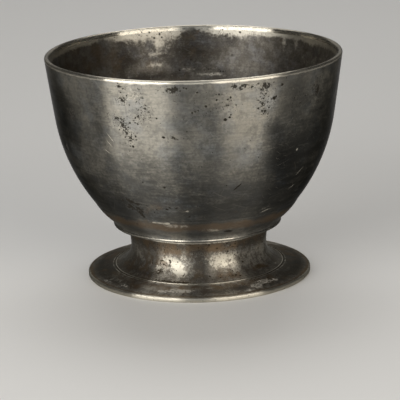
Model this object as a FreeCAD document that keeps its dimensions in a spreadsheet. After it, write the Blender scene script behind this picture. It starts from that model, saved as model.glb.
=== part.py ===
import FreeCAD, Part
import math
import os

import Sketcher

# Footed medicine measure: a bowl and a hollow foot, each cast and then turned, soldered together.
# Millimetres, +Z up. The origin is on the table, at the centre of the ring that the foot rests on.
# Every outline is drawn in its body's XZ plane, radius against height, and turned about Z.
# The bowl's heights are counted from the flat seat under it, the others from the table.

SIZES = {
    # bowl
    "rim_radius": 35.8,
    "bowl_height": 42.35,
    "bowl_wall": 1.2,
    "wall_flare_angle": 8.2,
    "wall_round": 43.5,
    "lip_flat": 0.1,
    # collar: the swelling band at the bottom of the bowl's outside
    "collar_inset": 10.8,
    "collar_height": 6.75,
    "collar_round": 14.0,
    "collar_undercut": 3.85,
    "collar_foot_height": 2.4,
    "cove_round": 2.0,
    # bead: the small round moulding under the collar
    "bead_setback": 0.7,
    "bead_round": 0.38,
    "bead_top_dip": 0.1,
    "bead_lift": 0.4,
    # inside of the bowl
    "floor_thickness": 1.9,
    "floor_dish": 110.0,
    "knuckle_round": 13.0,
    # foot
    "foot_height": 12.05,
    "bead_overhang": 3.3,
    "neck_flare": 0.6,
    "foot_wall": 1.0,
    "foot_sweep": 4.8,
    "foot_slope_angle": 12.5,
    "flange_reach": 10.65,
    "foot_edge_height": 1.1,
    "foot_edge_round": 0.4,
    "rest_ring_width": 2.6,
    "rest_ring_round": 0.3,
    # soft solder, as a film under the seat and a fillet on each side of the neck
    "solder_film": 0.2,
    "outer_fillet": 0.5,
    "inner_fillet": 0.9,
    "fillet_hollow_share": 1.6,
    "seat_margin": 0.3,
    # lines cut with a round-nosed tool whose centre is on the surface
    "bowl_line_round": 0.26,
    "foot_line_inset": 6.5,
    "foot_line_round": 0.2,
}

# Sizes that follow from the ones above, from the rim inwards and down to the foot.
FOLLOWING = {
    "lip_round": "(bowl_wall - lip_flat) / 2",
    "collar_radius": "rim_radius - collar_inset",
    "collar_foot_radius": "collar_radius - collar_undercut",
    "bead_radius": "collar_foot_radius - bead_setback",
    "bead_centre_radius": "bead_radius - bead_round",
    "bead_centre_height": "bead_lift + bead_round",
    "bead_top_height": "bead_lift + bead_round * 2 - bead_top_dip",
    "neck_top_radius": "bead_radius - bead_overhang",
    "neck_radius": "neck_top_radius - neck_flare",
    "bore_radius": "neck_radius - foot_wall",
    "foot_radius": "neck_radius + flange_reach",
    "ring_radius": "foot_radius - rest_ring_width",
    "land_height": "foot_height - outer_fillet",
    "seat_height": "foot_height + solder_film",
    "seat_radius": "neck_top_radius + outer_fillet + seat_margin",
    "foot_line_radius": "foot_radius - foot_line_inset",
    "foot_line_height": "foot_edge_height + foot_line_inset * tan(foot_slope_angle)",
}
NEAR = 1e-6


def make_sheet(doc):
    """Put every size in a cell under its own name, and read them all back as numbers."""
    sheet = doc.addObject("Spreadsheet::Sheet", "Sizes")
    cells = {name: str(value) for name, value in SIZES.items()}
    cells.update({name: f"={formula}" for name, formula in FOLLOWING.items()})
    for row, (name, content) in enumerate(cells.items(), start=1):
        sheet.set(f"A{row}", name)
        sheet.set(f"B{row}", content)
        sheet.setAlias(f"B{row}", name)
    doc.recompute()
    return {name: float(sheet.get(name)) for name in cells}


def make_body(doc, name):
    """Start a piece under the name that its file gets."""
    body = doc.addObject("PartDesign::Body", name)
    body.Label = name
    return body


def shifted(point, direction, distance):
    """Move a point along a unit direction."""
    return (point[0] + direction[0] * distance, point[1] + direction[1] * distance)


def toward(start, end):
    """Give the unit direction from one point to another."""
    length = math.dist(start, end)
    return ((end[0] - start[0]) / length, (end[1] - start[1]) / length)


def left_of(direction):
    """Turn a direction a quarter turn to the left."""
    return (-direction[1], direction[0])


def circles_meet(first, first_radius, second, second_radius):
    """Find where two circles about the given centres cross, further out from the axis."""
    gap = math.dist(first, second)
    along = (gap**2 + first_radius**2 - second_radius**2) / (2 * gap)
    across = math.sqrt(first_radius**2 - along**2)
    line = toward(first, second)
    foot = shifted(first, line, along)
    crossings = [shifted(foot, left_of(line), side * across) for side in (1, -1)]
    return max(crossings)


class Outline:
    """A closed outline in a body's XZ plane: x is the radius and y the height.

    It is drawn like a pen stroke from a first guess at each corner, and the constraints that
    follow, bound to the sheet's cells, then hold every edge.
    """

    def __init__(self, body, name, start):
        self.sketch = body.newObject("Sketcher::SketchObject", name)
        plane = next(item for item in body.Origin.OriginFeatures if item.Role == "XZ_Plane")
        self.sketch.AttachmentSupport = (plane, [""])
        self.sketch.MapMode = "FlatFace"
        self.first = start
        self.pen = start
        self.edges = []

    def line_to(self, end, smooth=False):
        """Draw a straight edge, tangent to the last one if it is smooth."""
        segment = Part.LineSegment(FreeCAD.Vector(*self.pen, 0), FreeCAD.Vector(*end, 0))
        index = self.sketch.addGeometry(segment, False)
        self.edges.append((index, 1, 2, smooth))
        self.pen = end
        return index

    def arc_to(self, end, radius, left=True, smooth=False):
        """Draw a round edge of up to half a turn, bending to the left or to the right."""
        start, stop = (self.pen, end) if left else (end, self.pen)
        half = math.dist(start, stop) / 2
        line = toward(start, stop)
        middle = shifted(start, line, half)
        centre = shifted(middle, left_of(line), math.sqrt(max(radius**2 - half**2, 0)))
        angles = [math.atan2(y - centre[1], x - centre[0]) for x, y in (start, stop)]
        circle = Part.Circle(FreeCAD.Vector(*centre, 0), FreeCAD.Vector(0, 0, 1), radius)
        index = self.sketch.addGeometry(Part.ArcOfCircle(circle, *angles), False)
        self.edges.append((index, 1, 2, smooth) if left else (index, 2, 1, smooth))
        self.pen = end
        return index

    def close(self):
        """Draw the last edge to the start and join every edge to the next one."""
        last = self.line_to(self.first)
        for (one, _, end, _), (other, start, _, smooth) in zip(
            self.edges, self.edges[1:] + self.edges[:1]
        ):
            self.tie("Tangent" if smooth else "Coincident", one, end, other, start)
        return last

    def tie(self, kind, *where):
        """Add constraints that have no size."""
        self.sketch.addConstraint(Sketcher.Constraint(kind, *where))

    def set(self, name, kind, where, guess, formula):
        """Add a constraint with a size, and bind it to a formula of the sheet's cells."""
        index = self.sketch.addConstraint(Sketcher.Constraint(kind, *where, guess))
        self.sketch.renameConstraint(index, name)
        self.sketch.setExpression(f"Constraints.{name}", formula)

    def place(self, name, edge, corner, radius=None, height=None):
        """Hold a corner, or an arc's centre as corner 3, at formulas for its radius and height."""
        point = self.sketch.getPoint(edge, corner)
        if radius:
            self.set(f"{name}_radius", "DistanceX", (-1, 1, edge, corner), point.x, radius)
        if height:
            self.set(f"{name}_height", "DistanceY", (-1, 1, edge, corner), point.y, height)

    def round(self, name, edge, formula):
        """Hold an arc's radius at a formula."""
        radius = self.sketch.Geometry[edge].Radius
        self.set(f"{name}_round", "Radius", (edge,), radius, formula)

    def turn(self, body, name):
        """Turn the outline about the body's Z axis into a solid."""
        solid = body.newObject("PartDesign::Revolution", name)
        solid.Profile = self.sketch
        solid.ReferenceAxis = (self.sketch, ["V_Axis"])
        solid.Angle = 360
        body.Document.recompute()
        return solid


def cut_line(body, name, radius, height, nose):
    """Cut a turned line with a round tool nose whose centre is at the given formulas."""
    sketch = body.newObject("Sketcher::SketchObject", f"{name}Nose")
    plane = next(item for item in body.Origin.OriginFeatures if item.Role == "XZ_Plane")
    sketch.AttachmentSupport = (plane, [""])
    sketch.MapMode = "FlatFace"
    circle = Part.Circle(FreeCAD.Vector(1, 1, 0), FreeCAD.Vector(0, 0, 1), 1)
    sketch.addGeometry(circle, False)
    for word, kind, where, formula in (
        ("radius", "DistanceX", (-1, 1, 0, 3), radius),
        ("height", "DistanceY", (-1, 1, 0, 3), height),
        ("nose", "Radius", (0,), nose),
    ):
        index = sketch.addConstraint(Sketcher.Constraint(kind, *where, 1))
        sketch.renameConstraint(index, word)
        sketch.setExpression(f"Constraints.{word}", formula)
    before = body.Shape.Volume
    groove = body.newObject("PartDesign::Groove", name)
    groove.Profile = sketch
    groove.ReferenceAxis = (sketch, ["V_Axis"])
    groove.Angle = 360
    body.Document.recompute()
    if not body.Shape.Volume < before:
        raise RuntimeError(f"{name} cuts nothing")
    return groove


def round_edges(body, name, base, places, formula):
    """Round the circular edges of a feature that lie at the given radius and height."""
    edges = []
    for index, edge in enumerate(base.Shape.Edges, start=1):
        if edge.Degenerated or not isinstance(edge.Curve, Part.Circle):
            continue
        found = (edge.Curve.Radius, edge.Curve.Center.z)
        if any(math.dist(found, place) < NEAR for place in places):
            edges.append(f"Edge{index}")
    if len(edges) != len(places):
        raise RuntimeError(f"{name} finds {len(edges)} of {len(places)} edges")
    fillet = body.newObject("PartDesign::Fillet", name)
    fillet.Base = (base, edges)
    fillet.setExpression("Radius", formula)
    body.Document.recompute()
    return fillet


def make_bowl(doc, size):
    """Make the bowl: round-bottomed inside, with a collar and a bead outside, on a flat seat."""
    body = make_body(doc, "bowl")
    lean = math.radians(size["wall_flare_angle"])
    up_wall = (math.sin(lean), math.cos(lean))
    inward = left_of(up_wall)
    rim = (size["rim_radius"], size["bowl_height"])
    collar_top = (size["collar_radius"], size["collar_height"])
    collar_foot = (size["collar_foot_radius"], size["collar_foot_height"])
    bead_centre = (size["bead_centre_radius"], size["bead_centre_height"])
    bead_rise = size["bead_top_height"] - size["bead_centre_height"]
    bead_reach = math.sqrt(size["bead_round"] ** 2 - bead_rise**2)
    bead_top = (bead_centre[0] + bead_reach, size["bead_top_height"])

    # The wall's round part touches its straight part and ends at the collar's top.
    level = shifted(rim, inward, size["wall_round"])
    run = (level[0] - collar_top[0], level[1] - collar_top[1])
    along = run[0] * up_wall[0] + run[1] * up_wall[1]
    across = run[0] ** 2 + run[1] ** 2 - along**2
    drop = along - math.sqrt(size["wall_round"] ** 2 - across)
    wall_centre = shifted(level, up_wall, -drop)
    wall_joint = shifted(rim, up_wall, -drop)
    inner_round = size["wall_round"] - size["bowl_wall"]

    # Inside, a knuckle joins the wall to the dished floor.
    floor_centre = (0, size["floor_thickness"] + size["floor_dish"])
    knuckle_centre = circles_meet(
        wall_centre,
        inner_round - size["knuckle_round"],
        floor_centre,
        size["floor_dish"] - size["knuckle_round"],
    )
    knuckle_top = shifted(wall_centre, toward(wall_centre, knuckle_centre), inner_round)
    knuckle_foot = shifted(floor_centre, toward(floor_centre, knuckle_centre), size["floor_dish"])
    inner_lip = size["rim_radius"] - size["bowl_wall"] / math.cos(lean)

    outline = Outline(body, "BowlOutline", (0, 0))
    seat = outline.line_to((size["seat_radius"], 0))
    outline.line_to((bead_centre[0], size["bead_lift"]))
    bead = outline.arc_to(bead_top, size["bead_round"])
    cove = outline.arc_to(collar_foot, size["cove_round"], left=False)
    collar = outline.arc_to(collar_top, size["collar_round"])
    wall_round = outline.arc_to(wall_joint, size["wall_round"])
    wall = outline.line_to(rim, smooth=True)
    lip = outline.line_to((inner_lip, size["bowl_height"]))
    inner_wall = outline.line_to(shifted(wall_joint, inward, size["bowl_wall"]))
    inner_arc = outline.arc_to(knuckle_top, inner_round, left=False, smooth=True)
    knuckle = outline.arc_to(knuckle_foot, size["knuckle_round"], left=False, smooth=True)
    floor = outline.arc_to((0, size["floor_thickness"]), size["floor_dish"], False, True)
    outline.close()

    outline.tie("Coincident", seat, 1, -1, 1)
    outline.tie("Horizontal", seat)
    outline.place("seat", seat, 2, "Sizes.seat_radius")
    outline.place("bead", bead, 3, "Sizes.bead_centre_radius", "Sizes.bead_centre_height")
    outline.round("bead", bead, "Sizes.bead_round")
    outline.tie("Vertical", bead, 1, bead, 3)
    outline.place("bead_top", bead, 2, height="Sizes.bead_top_height")
    outline.round("cove", cove, "Sizes.cove_round")
    outline.place("collar_foot", collar, 1, "Sizes.collar_foot_radius", "Sizes.collar_foot_height")
    outline.round("collar", collar, "Sizes.collar_round")
    outline.place("collar_top", collar, 2, "Sizes.collar_radius", "Sizes.collar_height")
    outline.round("wall", wall_round, "Sizes.wall_round")
    flare = "(90 - Sizes.wall_flare_angle) * 1 deg"
    outline.set("flare", "Angle", (wall,), math.pi / 2 - lean, flare)
    outline.place("rim", wall, 2, "Sizes.rim_radius", "Sizes.bowl_height")
    outline.tie("Horizontal", lip)
    outline.tie("Parallel", wall, inner_wall)
    outline.set(
        "wall_thickness", "Distance", (inner_wall, 2, wall), size["bowl_wall"], "Sizes.bowl_wall"
    )
    outline.tie("Coincident", inner_arc, 3, wall_round, 3)
    outline.round("knuckle", knuckle, "Sizes.knuckle_round")
    outline.tie("PointOnObject", floor, 3, -2)
    outline.tie("PointOnObject", floor, 1, -2)
    outline.place("floor", floor, 1, height="Sizes.floor_thickness")
    outline.round("floor", floor, "Sizes.floor_dish")
    blank = outline.turn(body, "BowlBlank")

    lips = [(size["rim_radius"], size["bowl_height"]), (inner_lip, size["bowl_height"])]
    round_edges(body, "RoundedLip", blank, lips, "Sizes.lip_round")
    cut_line(
        body, "CollarLine", "Sizes.collar_radius", "Sizes.collar_height", "Sizes.bowl_line_round"
    )
    body.setExpression("Placement.Base.z", "Sizes.seat_height")
    return body


def make_foot(doc, size):
    """Make the hollow foot: a neck that sweeps out into a flange with a rounded edge."""
    body = make_body(doc, "foot")
    slope = math.radians(size["foot_slope_angle"])
    down_slope = (math.cos(slope), -math.sin(slope))
    upward = left_of(down_slope)
    edge_top = (size["foot_radius"], size["foot_edge_height"])
    ring_inside = size["ring_radius"]
    bore = size["bore_radius"]

    # The sweep touches the neck and the flange's sloping top.
    sweep_x = size["neck_radius"] + size["foot_sweep"]
    rise = (edge_top[0] - sweep_x) * math.tan(slope)
    sweep_centre = (sweep_x, edge_top[1] + rise + size["foot_sweep"] / math.cos(slope))
    sweep_foot = shifted(sweep_centre, upward, -size["foot_sweep"])
    inner_sweep = size["foot_sweep"] + size["foot_wall"]

    # The neck opens again above its waist, up to a land that the solder's fillet grips.
    land_foot = (size["neck_top_radius"], size["land_height"])
    rise = size["land_height"] - sweep_centre[1]
    neck_round = (size["neck_flare"] ** 2 + rise**2) / (2 * size["neck_flare"])
    inner_foot = shifted(sweep_centre, upward, -inner_sweep)
    ring_top = inner_foot[1] - (ring_inside - inner_foot[0]) * math.tan(slope)

    outline = Outline(body, "FootOutline", (ring_inside, 0))
    rest = outline.line_to((size["foot_radius"], 0))
    edge = outline.line_to(edge_top)
    flange = outline.line_to(sweep_foot)
    waist = (size["neck_radius"], sweep_centre[1])
    sweep = outline.arc_to(waist, size["foot_sweep"], left=False, smooth=True)
    neck = outline.arc_to(land_foot, neck_round, left=False, smooth=True)
    land = outline.line_to((size["neck_top_radius"], size["foot_height"]))
    top = outline.line_to((bore, size["foot_height"]))
    inner_neck = outline.line_to((bore, sweep_centre[1]))
    inner_arc = outline.arc_to(inner_foot, inner_sweep, smooth=True)
    underside = outline.line_to((ring_inside, ring_top), smooth=True)
    ring = outline.close()

    outline.place("ring", rest, 1, "Sizes.ring_radius")
    outline.tie("PointOnObject", rest, 1, -1)
    outline.tie("Horizontal", rest)
    outline.place("edge", edge, 2, "Sizes.foot_radius", "Sizes.foot_edge_height")
    outline.tie("Vertical", edge)
    outline.set(
        "slope", "Angle", (flange,), math.pi - slope, "(180 - Sizes.foot_slope_angle) * 1 deg"
    )
    outline.round("sweep", sweep, "Sizes.foot_sweep")
    outline.tie("Horizontal", sweep, 3, sweep, 1)
    outline.place("waist", sweep, 1, radius="Sizes.neck_radius")
    outline.place("land", neck, 1, height="Sizes.land_height")
    outline.tie("Vertical", land)
    outline.place("neck_top", land, 2, "Sizes.neck_top_radius", "Sizes.foot_height")
    outline.tie("Horizontal", top)
    outline.place("bore", top, 2, "Sizes.bore_radius")
    outline.tie("Vertical", inner_neck)
    outline.tie("Coincident", inner_arc, 3, sweep, 3)
    outline.tie("Parallel", underside, flange)
    outline.tie("Vertical", ring)
    blank = outline.turn(body, "FootBlank")

    edges = [(size["foot_radius"], 0), edge_top]
    rounded = round_edges(body, "RoundedEdge", blank, edges, "Sizes.foot_edge_round")
    round_edges(body, "EasedRing", rounded, [(ring_inside, 0)], "Sizes.rest_ring_round")
    cut_line(
        body, "FootLine", "Sizes.foot_line_radius", "Sizes.foot_line_height", "Sizes.foot_line_round"
    )
    return body


def make_seam(doc, size):
    """Make the soft solder: a film on the neck's top with a fillet inside and outside the neck."""
    body = make_body(doc, "solder_seam")
    low = size["foot_height"]
    high = size["seat_height"]
    outside = size["neck_top_radius"]
    inside = size["bore_radius"]
    outer, inner = size["outer_fillet"], size["inner_fillet"]
    hollow = size["fillet_hollow_share"]

    outline = Outline(body, "SeamOutline", (inside, low))
    film = outline.line_to((outside, low))
    outer_leg = outline.line_to((outside, high - outer))
    outer_face = outline.arc_to((outside + outer, high), outer * hollow, left=False)
    top = outline.line_to((inside - inner, high))
    inner_face = outline.arc_to((inside, high - inner), inner * hollow, left=False)
    inner_leg = outline.close()

    outline.place("film_inside", film, 1, "Sizes.bore_radius", "Sizes.foot_height")
    outline.place("film_outside", film, 2, "Sizes.neck_top_radius")
    outline.tie("Horizontal", film)
    outline.tie("Vertical", outer_leg)
    outline.place("outer_leg", outer_leg, 2, height="Sizes.seat_height - Sizes.outer_fillet")
    reach = "Sizes.neck_top_radius + Sizes.outer_fillet"
    outline.place("top_outside", top, 1, reach, "Sizes.seat_height")
    outline.tie("Horizontal", top)
    outline.place("top_inside", top, 2, "Sizes.bore_radius - Sizes.inner_fillet")
    outline.tie("Vertical", inner_leg)
    outline.place("inner_leg", inner_leg, 1, height="Sizes.seat_height - Sizes.inner_fillet")
    outline.round("outer_face", outer_face, "Sizes.outer_fillet * Sizes.fillet_hollow_share")
    outline.round("inner_face", inner_face, "Sizes.inner_fillet * Sizes.fillet_hollow_share")
    outline.turn(body, "Seam")
    return body


def check(doc, pieces):
    """Stop if anything in the document failed or a piece isn't one sound solid."""
    doc.recompute()
    for item in doc.Objects:
        if "Invalid" in item.State or "Error" in item.State:
            raise RuntimeError(f"{item.Label} failed: {item.State}")
    for piece in pieces:
        shape = piece.Shape
        if shape.isNull() or not shape.isValid() or len(shape.Solids) != 1:
            raise RuntimeError(f"{piece.Label} isn't one sound solid")


def main():
    """Build the measure and write each piece to a file under its own name."""
    doc = FreeCAD.newDocument("medicine_measure")
    size = make_sheet(doc)
    pieces = [make_foot(doc, size), make_seam(doc, size), make_bowl(doc, size)]
    check(doc, pieces)
    os.makedirs("parts", exist_ok=True)
    for piece in pieces:
        piece.Shape.exportStep(f"parts/{piece.Label}.step")
        box = piece.Shape.optimalBoundingBox(False)
        print(f"{piece.Label}: {piece.Shape.Volume:.1f} mm3, {box.ZMin:.2f} to {box.ZMax:.2f} mm")


main()
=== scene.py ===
import logging
import math
from collections.abc import Iterable
from dataclasses import dataclass, field
from enum import Enum
from typing import Any

import bmesh
import bpy
import numpy as np
from mathutils import Matrix, Vector, noise


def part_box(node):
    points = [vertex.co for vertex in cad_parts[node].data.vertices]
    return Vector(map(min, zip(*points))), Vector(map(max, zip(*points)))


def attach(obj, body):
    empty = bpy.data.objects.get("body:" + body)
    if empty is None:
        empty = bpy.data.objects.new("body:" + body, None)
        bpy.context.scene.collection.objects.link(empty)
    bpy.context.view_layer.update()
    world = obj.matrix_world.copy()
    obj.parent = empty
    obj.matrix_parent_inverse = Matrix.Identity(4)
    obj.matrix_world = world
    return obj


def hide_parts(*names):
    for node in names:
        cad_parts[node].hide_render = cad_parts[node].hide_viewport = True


# Looks of a footed medicine measure of old pewter: bowl, hollow foot and the solder between them.
# Sizes are in millimetres until a piece is finished, and the scene is in metres.
# Angles around the cup count from its front, which faces the camera, and grow to the viewer's right.

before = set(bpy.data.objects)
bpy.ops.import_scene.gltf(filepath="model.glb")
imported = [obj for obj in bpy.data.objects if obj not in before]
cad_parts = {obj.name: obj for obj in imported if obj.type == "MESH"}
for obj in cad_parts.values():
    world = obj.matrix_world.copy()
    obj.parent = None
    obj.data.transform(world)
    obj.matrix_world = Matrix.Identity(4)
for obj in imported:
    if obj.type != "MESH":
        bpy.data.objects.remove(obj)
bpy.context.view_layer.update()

MM = 0.001
PER_MM = 1 / MM
UV_NAME = "turned"
BODY = "root"

# How wide a mark is that goes all the way round.
ALL_ROUND = math.inf
# Points and faces whose share of the inside is above this lie on the inside.
HALF = 0.5
# A mark's amount falls off as the exponential of this times the squared distance from its middle.
MARK_FADE = -1.6
# Points nearer to each other than this are merged, in mm.
MERGE_REACH = 0.002
# Points whose heights differ by less than this lie on one ring, in mm.
RING_REACH = 1e-4
# Faces are taken to be at least this far apart where the outline's bend is measured, in mm.
LEAST_GAP = 0.05
# How much further away the inner face counts when a crisp mark looks for its point, in mm.
OTHER_FACE = 9.0
# Added to half a wall where the lip's arc spans it, so that rounding can't make it too small, in mm.
LIP_MARGIN = 0.001

Colour = tuple[float, float, float]
Point = tuple[float, float]
Socket = bpy.types.NodeSocket
Value = float | Colour | Vector | Socket
Rows = Iterable[tuple[float, ...]]
Names = Iterable[str]

log = logging.getLogger("measure")


class Side(Enum):
    """The face of a wall that something lies on."""

    OUTSIDE = 0
    INSIDE = 1


class Trace(Enum):
    """What use leaves, and the painted shade and highlights, kept as numbers at a mesh's points."""

    PITTED = "pitted"
    STAINED = "stained"
    TONED = "toned"
    FILMED = "filmed"
    RUBBED = "rubbed"
    BLOOMED = "bloomed"
    DENTED = "dented"


class Blend(Enum):
    """How a Mix node puts two values together: its data type, its blend type and its sockets."""

    COLOURS = ("RGBA", "MIX", 6, 7, 2)
    DARKER = ("RGBA", "MULTIPLY", 6, 7, 2)
    NUMBERS = ("FLOAT", "MIX", 2, 3, 0)


@dataclass(frozen=True)
class Mark:
    """A soft-edged patch of one trace.

    Attributes:
        trace: What the patch adds to.
        around: Degrees from the front.
        level: Height above the table in mm.
        wide: Half its width around the cup, in mm.
        tall: Half its length along the outline, in mm.
        amount: How much it adds at its middle, and for a dent its depth in mm.
        lean: Degrees that it leans to the right.
        side: The face of the wall that it lies on.
    """

    trace: Trace
    around: float
    level: float
    wide: float
    tall: float
    amount: float
    lean: float = 0.0
    side: Side = Side.OUTSIDE


@dataclass(frozen=True)
class Spot:
    """A crisp small mark: a pit, a nick or a short scratch.

    Attributes:
        around: Degrees from the front.
        level: Height above the table in mm.
        long: Half its length in mm.
        thick: Half its width in mm.
        lean: Degrees from level that its length is turned up to the left.
    """

    around: float
    level: float
    long: float
    thick: float
    lean: float = 0.0


@dataclass(frozen=True)
class Wear:
    """All that use has left on a piece, and its painted shade and highlights.

    A row of a soft mark holds a Mark's values from around to amount, and its lean if it has one.
    A row of a crisp mark holds a Spot's values.

    Attributes:
        outside: The soft marks on the outside, by trace.
        inside: The soft marks on the inside, by trace.
        dark: The pits and short dark scratches on the outside.
        bright: The fresh nicks on the outside, which show clean metal, and some painted highlights
            on dents.
    """

    outside: dict[Trace, Rows] = field(default_factory=dict)
    inside: dict[Trace, Rows] = field(default_factory=dict)
    dark: Rows = ()
    bright: Rows = ()

    def marks(self) -> Iterable[Mark]:
        """Lists the soft marks.

        Yields:
            Each mark, those on the outside first.
        """
        for side, patches in ((Side.OUTSIDE, self.outside), (Side.INSIDE, self.inside)):
            for trace, rows in patches.items():
                for row in rows:
                    yield Mark(trace, *row, side=side)


def shifted(point: Point, direction: Point, distance: float) -> Point:
    """Moves a point along a unit direction.

    Args:
        point: Where it starts.
        direction: Which way it goes.
        distance: How far it goes.

    Returns:
        Where it ends.
    """
    return (point[0] + direction[0] * distance, point[1] + direction[1] * distance)


def toward(start: Point, end: Point) -> Point:
    """Gives the unit direction from one point to another.

    Args:
        start: The first point.
        end: The second point.

    Returns:
        The direction.
    """
    length = math.dist(start, end)
    return ((end[0] - start[0]) / length, (end[1] - start[1]) / length)


def left_of(direction: Point) -> Point:
    """Turns a direction a quarter turn to the left."""
    return (-direction[1], direction[0])


def circles_meet(first: Point, first_radius: float, second: Point, second_radius: float) -> Point:
    """Finds where two circles cross, further out from the axis.

    Args:
        first: Centre of the first circle.
        first_radius: Its radius.
        second: Centre of the second circle.
        second_radius: Its radius.

    Returns:
        The crossing.
    """
    gap = math.dist(first, second)
    along = (gap**2 + first_radius**2 - second_radius**2) / (2 * gap)
    across = math.sqrt(first_radius**2 - along**2)
    line = toward(first, second)
    foot = shifted(first, line, along)
    return max(shifted(foot, left_of(line), side * across) for side in (1, -1))


def span(node: str) -> tuple[float, float, float]:
    """Measures a turned node of the frame.

    Args:
        node: Its name.

    Returns:
        Its outer radius, lowest point and highest point in mm.
    """
    low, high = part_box(node)
    return high.x * PER_MM, low.z * PER_MM, high.z * PER_MM


def read(items: Any, name: str, width: int = 1, whole: bool = False) -> np.ndarray:
    """Reads a number or a vector from every item of a mesh.

    Args:
        items: The mesh's points, corners or faces, or the data of one of its layers.
        name: What is read from each.
        width: How many numbers each gives.
        whole: Whether they are whole numbers.

    Returns:
        A number for each item, or a row of them.
    """
    values = np.empty(len(items) * width, np.int32 if whole else np.float32)
    items.foreach_get(name, values)
    if not whole:
        values = values.astype(float)
    return values.reshape(-1, width) if width > 1 else values


class Outline:
    """A turned piece's outline, drawn step by step in the XZ plane and then spun about Z.

    Radius is x and height is z, both in mm. Each point remembers how far along the outline it
    lies and which side of the wall it is on, and the spin copies both all the way round.
    """

    def __init__(self, start: Point) -> None:
        """Starts the outline at a point.

        Args:
            start: Its radius and height.
        """
        self.mesh = bmesh.new()
        self.run = self.mesh.verts.layers.float.new("run")
        self.inside = self.mesh.verts.layers.float.new("inside")
        self.side = Side.OUTSIDE
        made = bmesh.ops.create_vert(self.mesh, co=(start[0], 0, start[1]))
        self.tip = made["vert"][0]

    @property
    def pen(self) -> Point:
        """Where the outline has got to."""
        return (self.tip.co.x, self.tip.co.z)

    def _step(self) -> bmesh.types.BMVert:
        """Adds one more point on top of the last one and makes it the tip."""
        self.tip = bmesh.ops.extrude_vert_indiv(self.mesh, verts=[self.tip])["verts"][0]
        self.tip[self.inside] = self.side.value
        return self.tip

    def line_to(self, end: Point, pitch: float = 0.5) -> None:
        """Draws a straight stretch.

        Args:
            end: Where it ends.
            pitch: About how far apart its points are.
        """
        length = math.dist(self.pen, end)
        steps = max(1, round(length / pitch))
        way = Vector((end[0] - self.pen[0], 0, end[1] - self.pen[1])) / steps
        for _ in range(steps):
            point = self._step()
            bmesh.ops.translate(self.mesh, verts=[point], vec=way)
            point[self.run] += length / steps

    def arc_to(self, end: Point, radius: float, left: bool = True, pitch: float = 0.5) -> None:
        """Draws a round stretch of up to half a turn.

        Args:
            end: Where it ends.
            radius: Its radius.
            left: Whether it bends to the left.
            pitch: About how far apart its points are.
        """
        half = math.dist(self.pen, end) / 2
        line = toward(self.pen, end)
        hand = 1 if left else -1
        away = math.sqrt(max(radius**2 - half**2, 0))
        centre = shifted(shifted(self.pen, line, half), left_of(line), hand * away)
        angle = 2 * math.asin(min(half / radius, 1))
        steps = max(2, round(radius * angle / pitch))
        turn = Matrix.Rotation(hand * angle / steps, 3, Vector((0, -1, 0)))
        for _ in range(steps):
            point = self._step()
            bmesh.ops.rotate(self.mesh, cent=(centre[0], 0, centre[1]), matrix=turn, verts=[point])
            point[self.run] += radius * angle / steps

    def spin(self, segments: int) -> bmesh.types.BMesh:
        """Turns the outline about the Z axis: an eighth of a turn, doubled three times.

        Args:
            segments: How many faces go round, a multiple of eight.

        Returns:
            The closed shell, with its faces pointing outwards.
        """
        angle = math.pi / 4
        bmesh.ops.spin(
            self.mesh,
            geom=self.mesh.verts[:] + self.mesh.edges[:],
            cent=(0, 0, 0),
            axis=(0, 0, 1),
            angle=angle,
            steps=segments // 8,
            use_merge=False,
            use_duplicate=False,
        )
        while angle < 2 * math.pi:
            whole = self.mesh.verts[:] + self.mesh.edges[:] + self.mesh.faces[:]
            copy = bmesh.ops.duplicate(self.mesh, geom=whole)["geom"]
            points = [item for item in copy if isinstance(item, bmesh.types.BMVert)]
            turn = Matrix.Rotation(angle, 3, "Z")
            bmesh.ops.rotate(self.mesh, cent=(0, 0, 0), matrix=turn, verts=points)
            angle *= 2
        bmesh.ops.remove_doubles(self.mesh, verts=self.mesh.verts[:], dist=MERGE_REACH)
        bmesh.ops.recalc_face_normals(self.mesh, faces=self.mesh.faces[:])
        for face in self.mesh.faces:
            face.smooth = True
            share = sum(vert[self.inside] for vert in face.verts) / len(face.verts)
            face.material_index = int(share > HALF)
        return self.mesh


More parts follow.
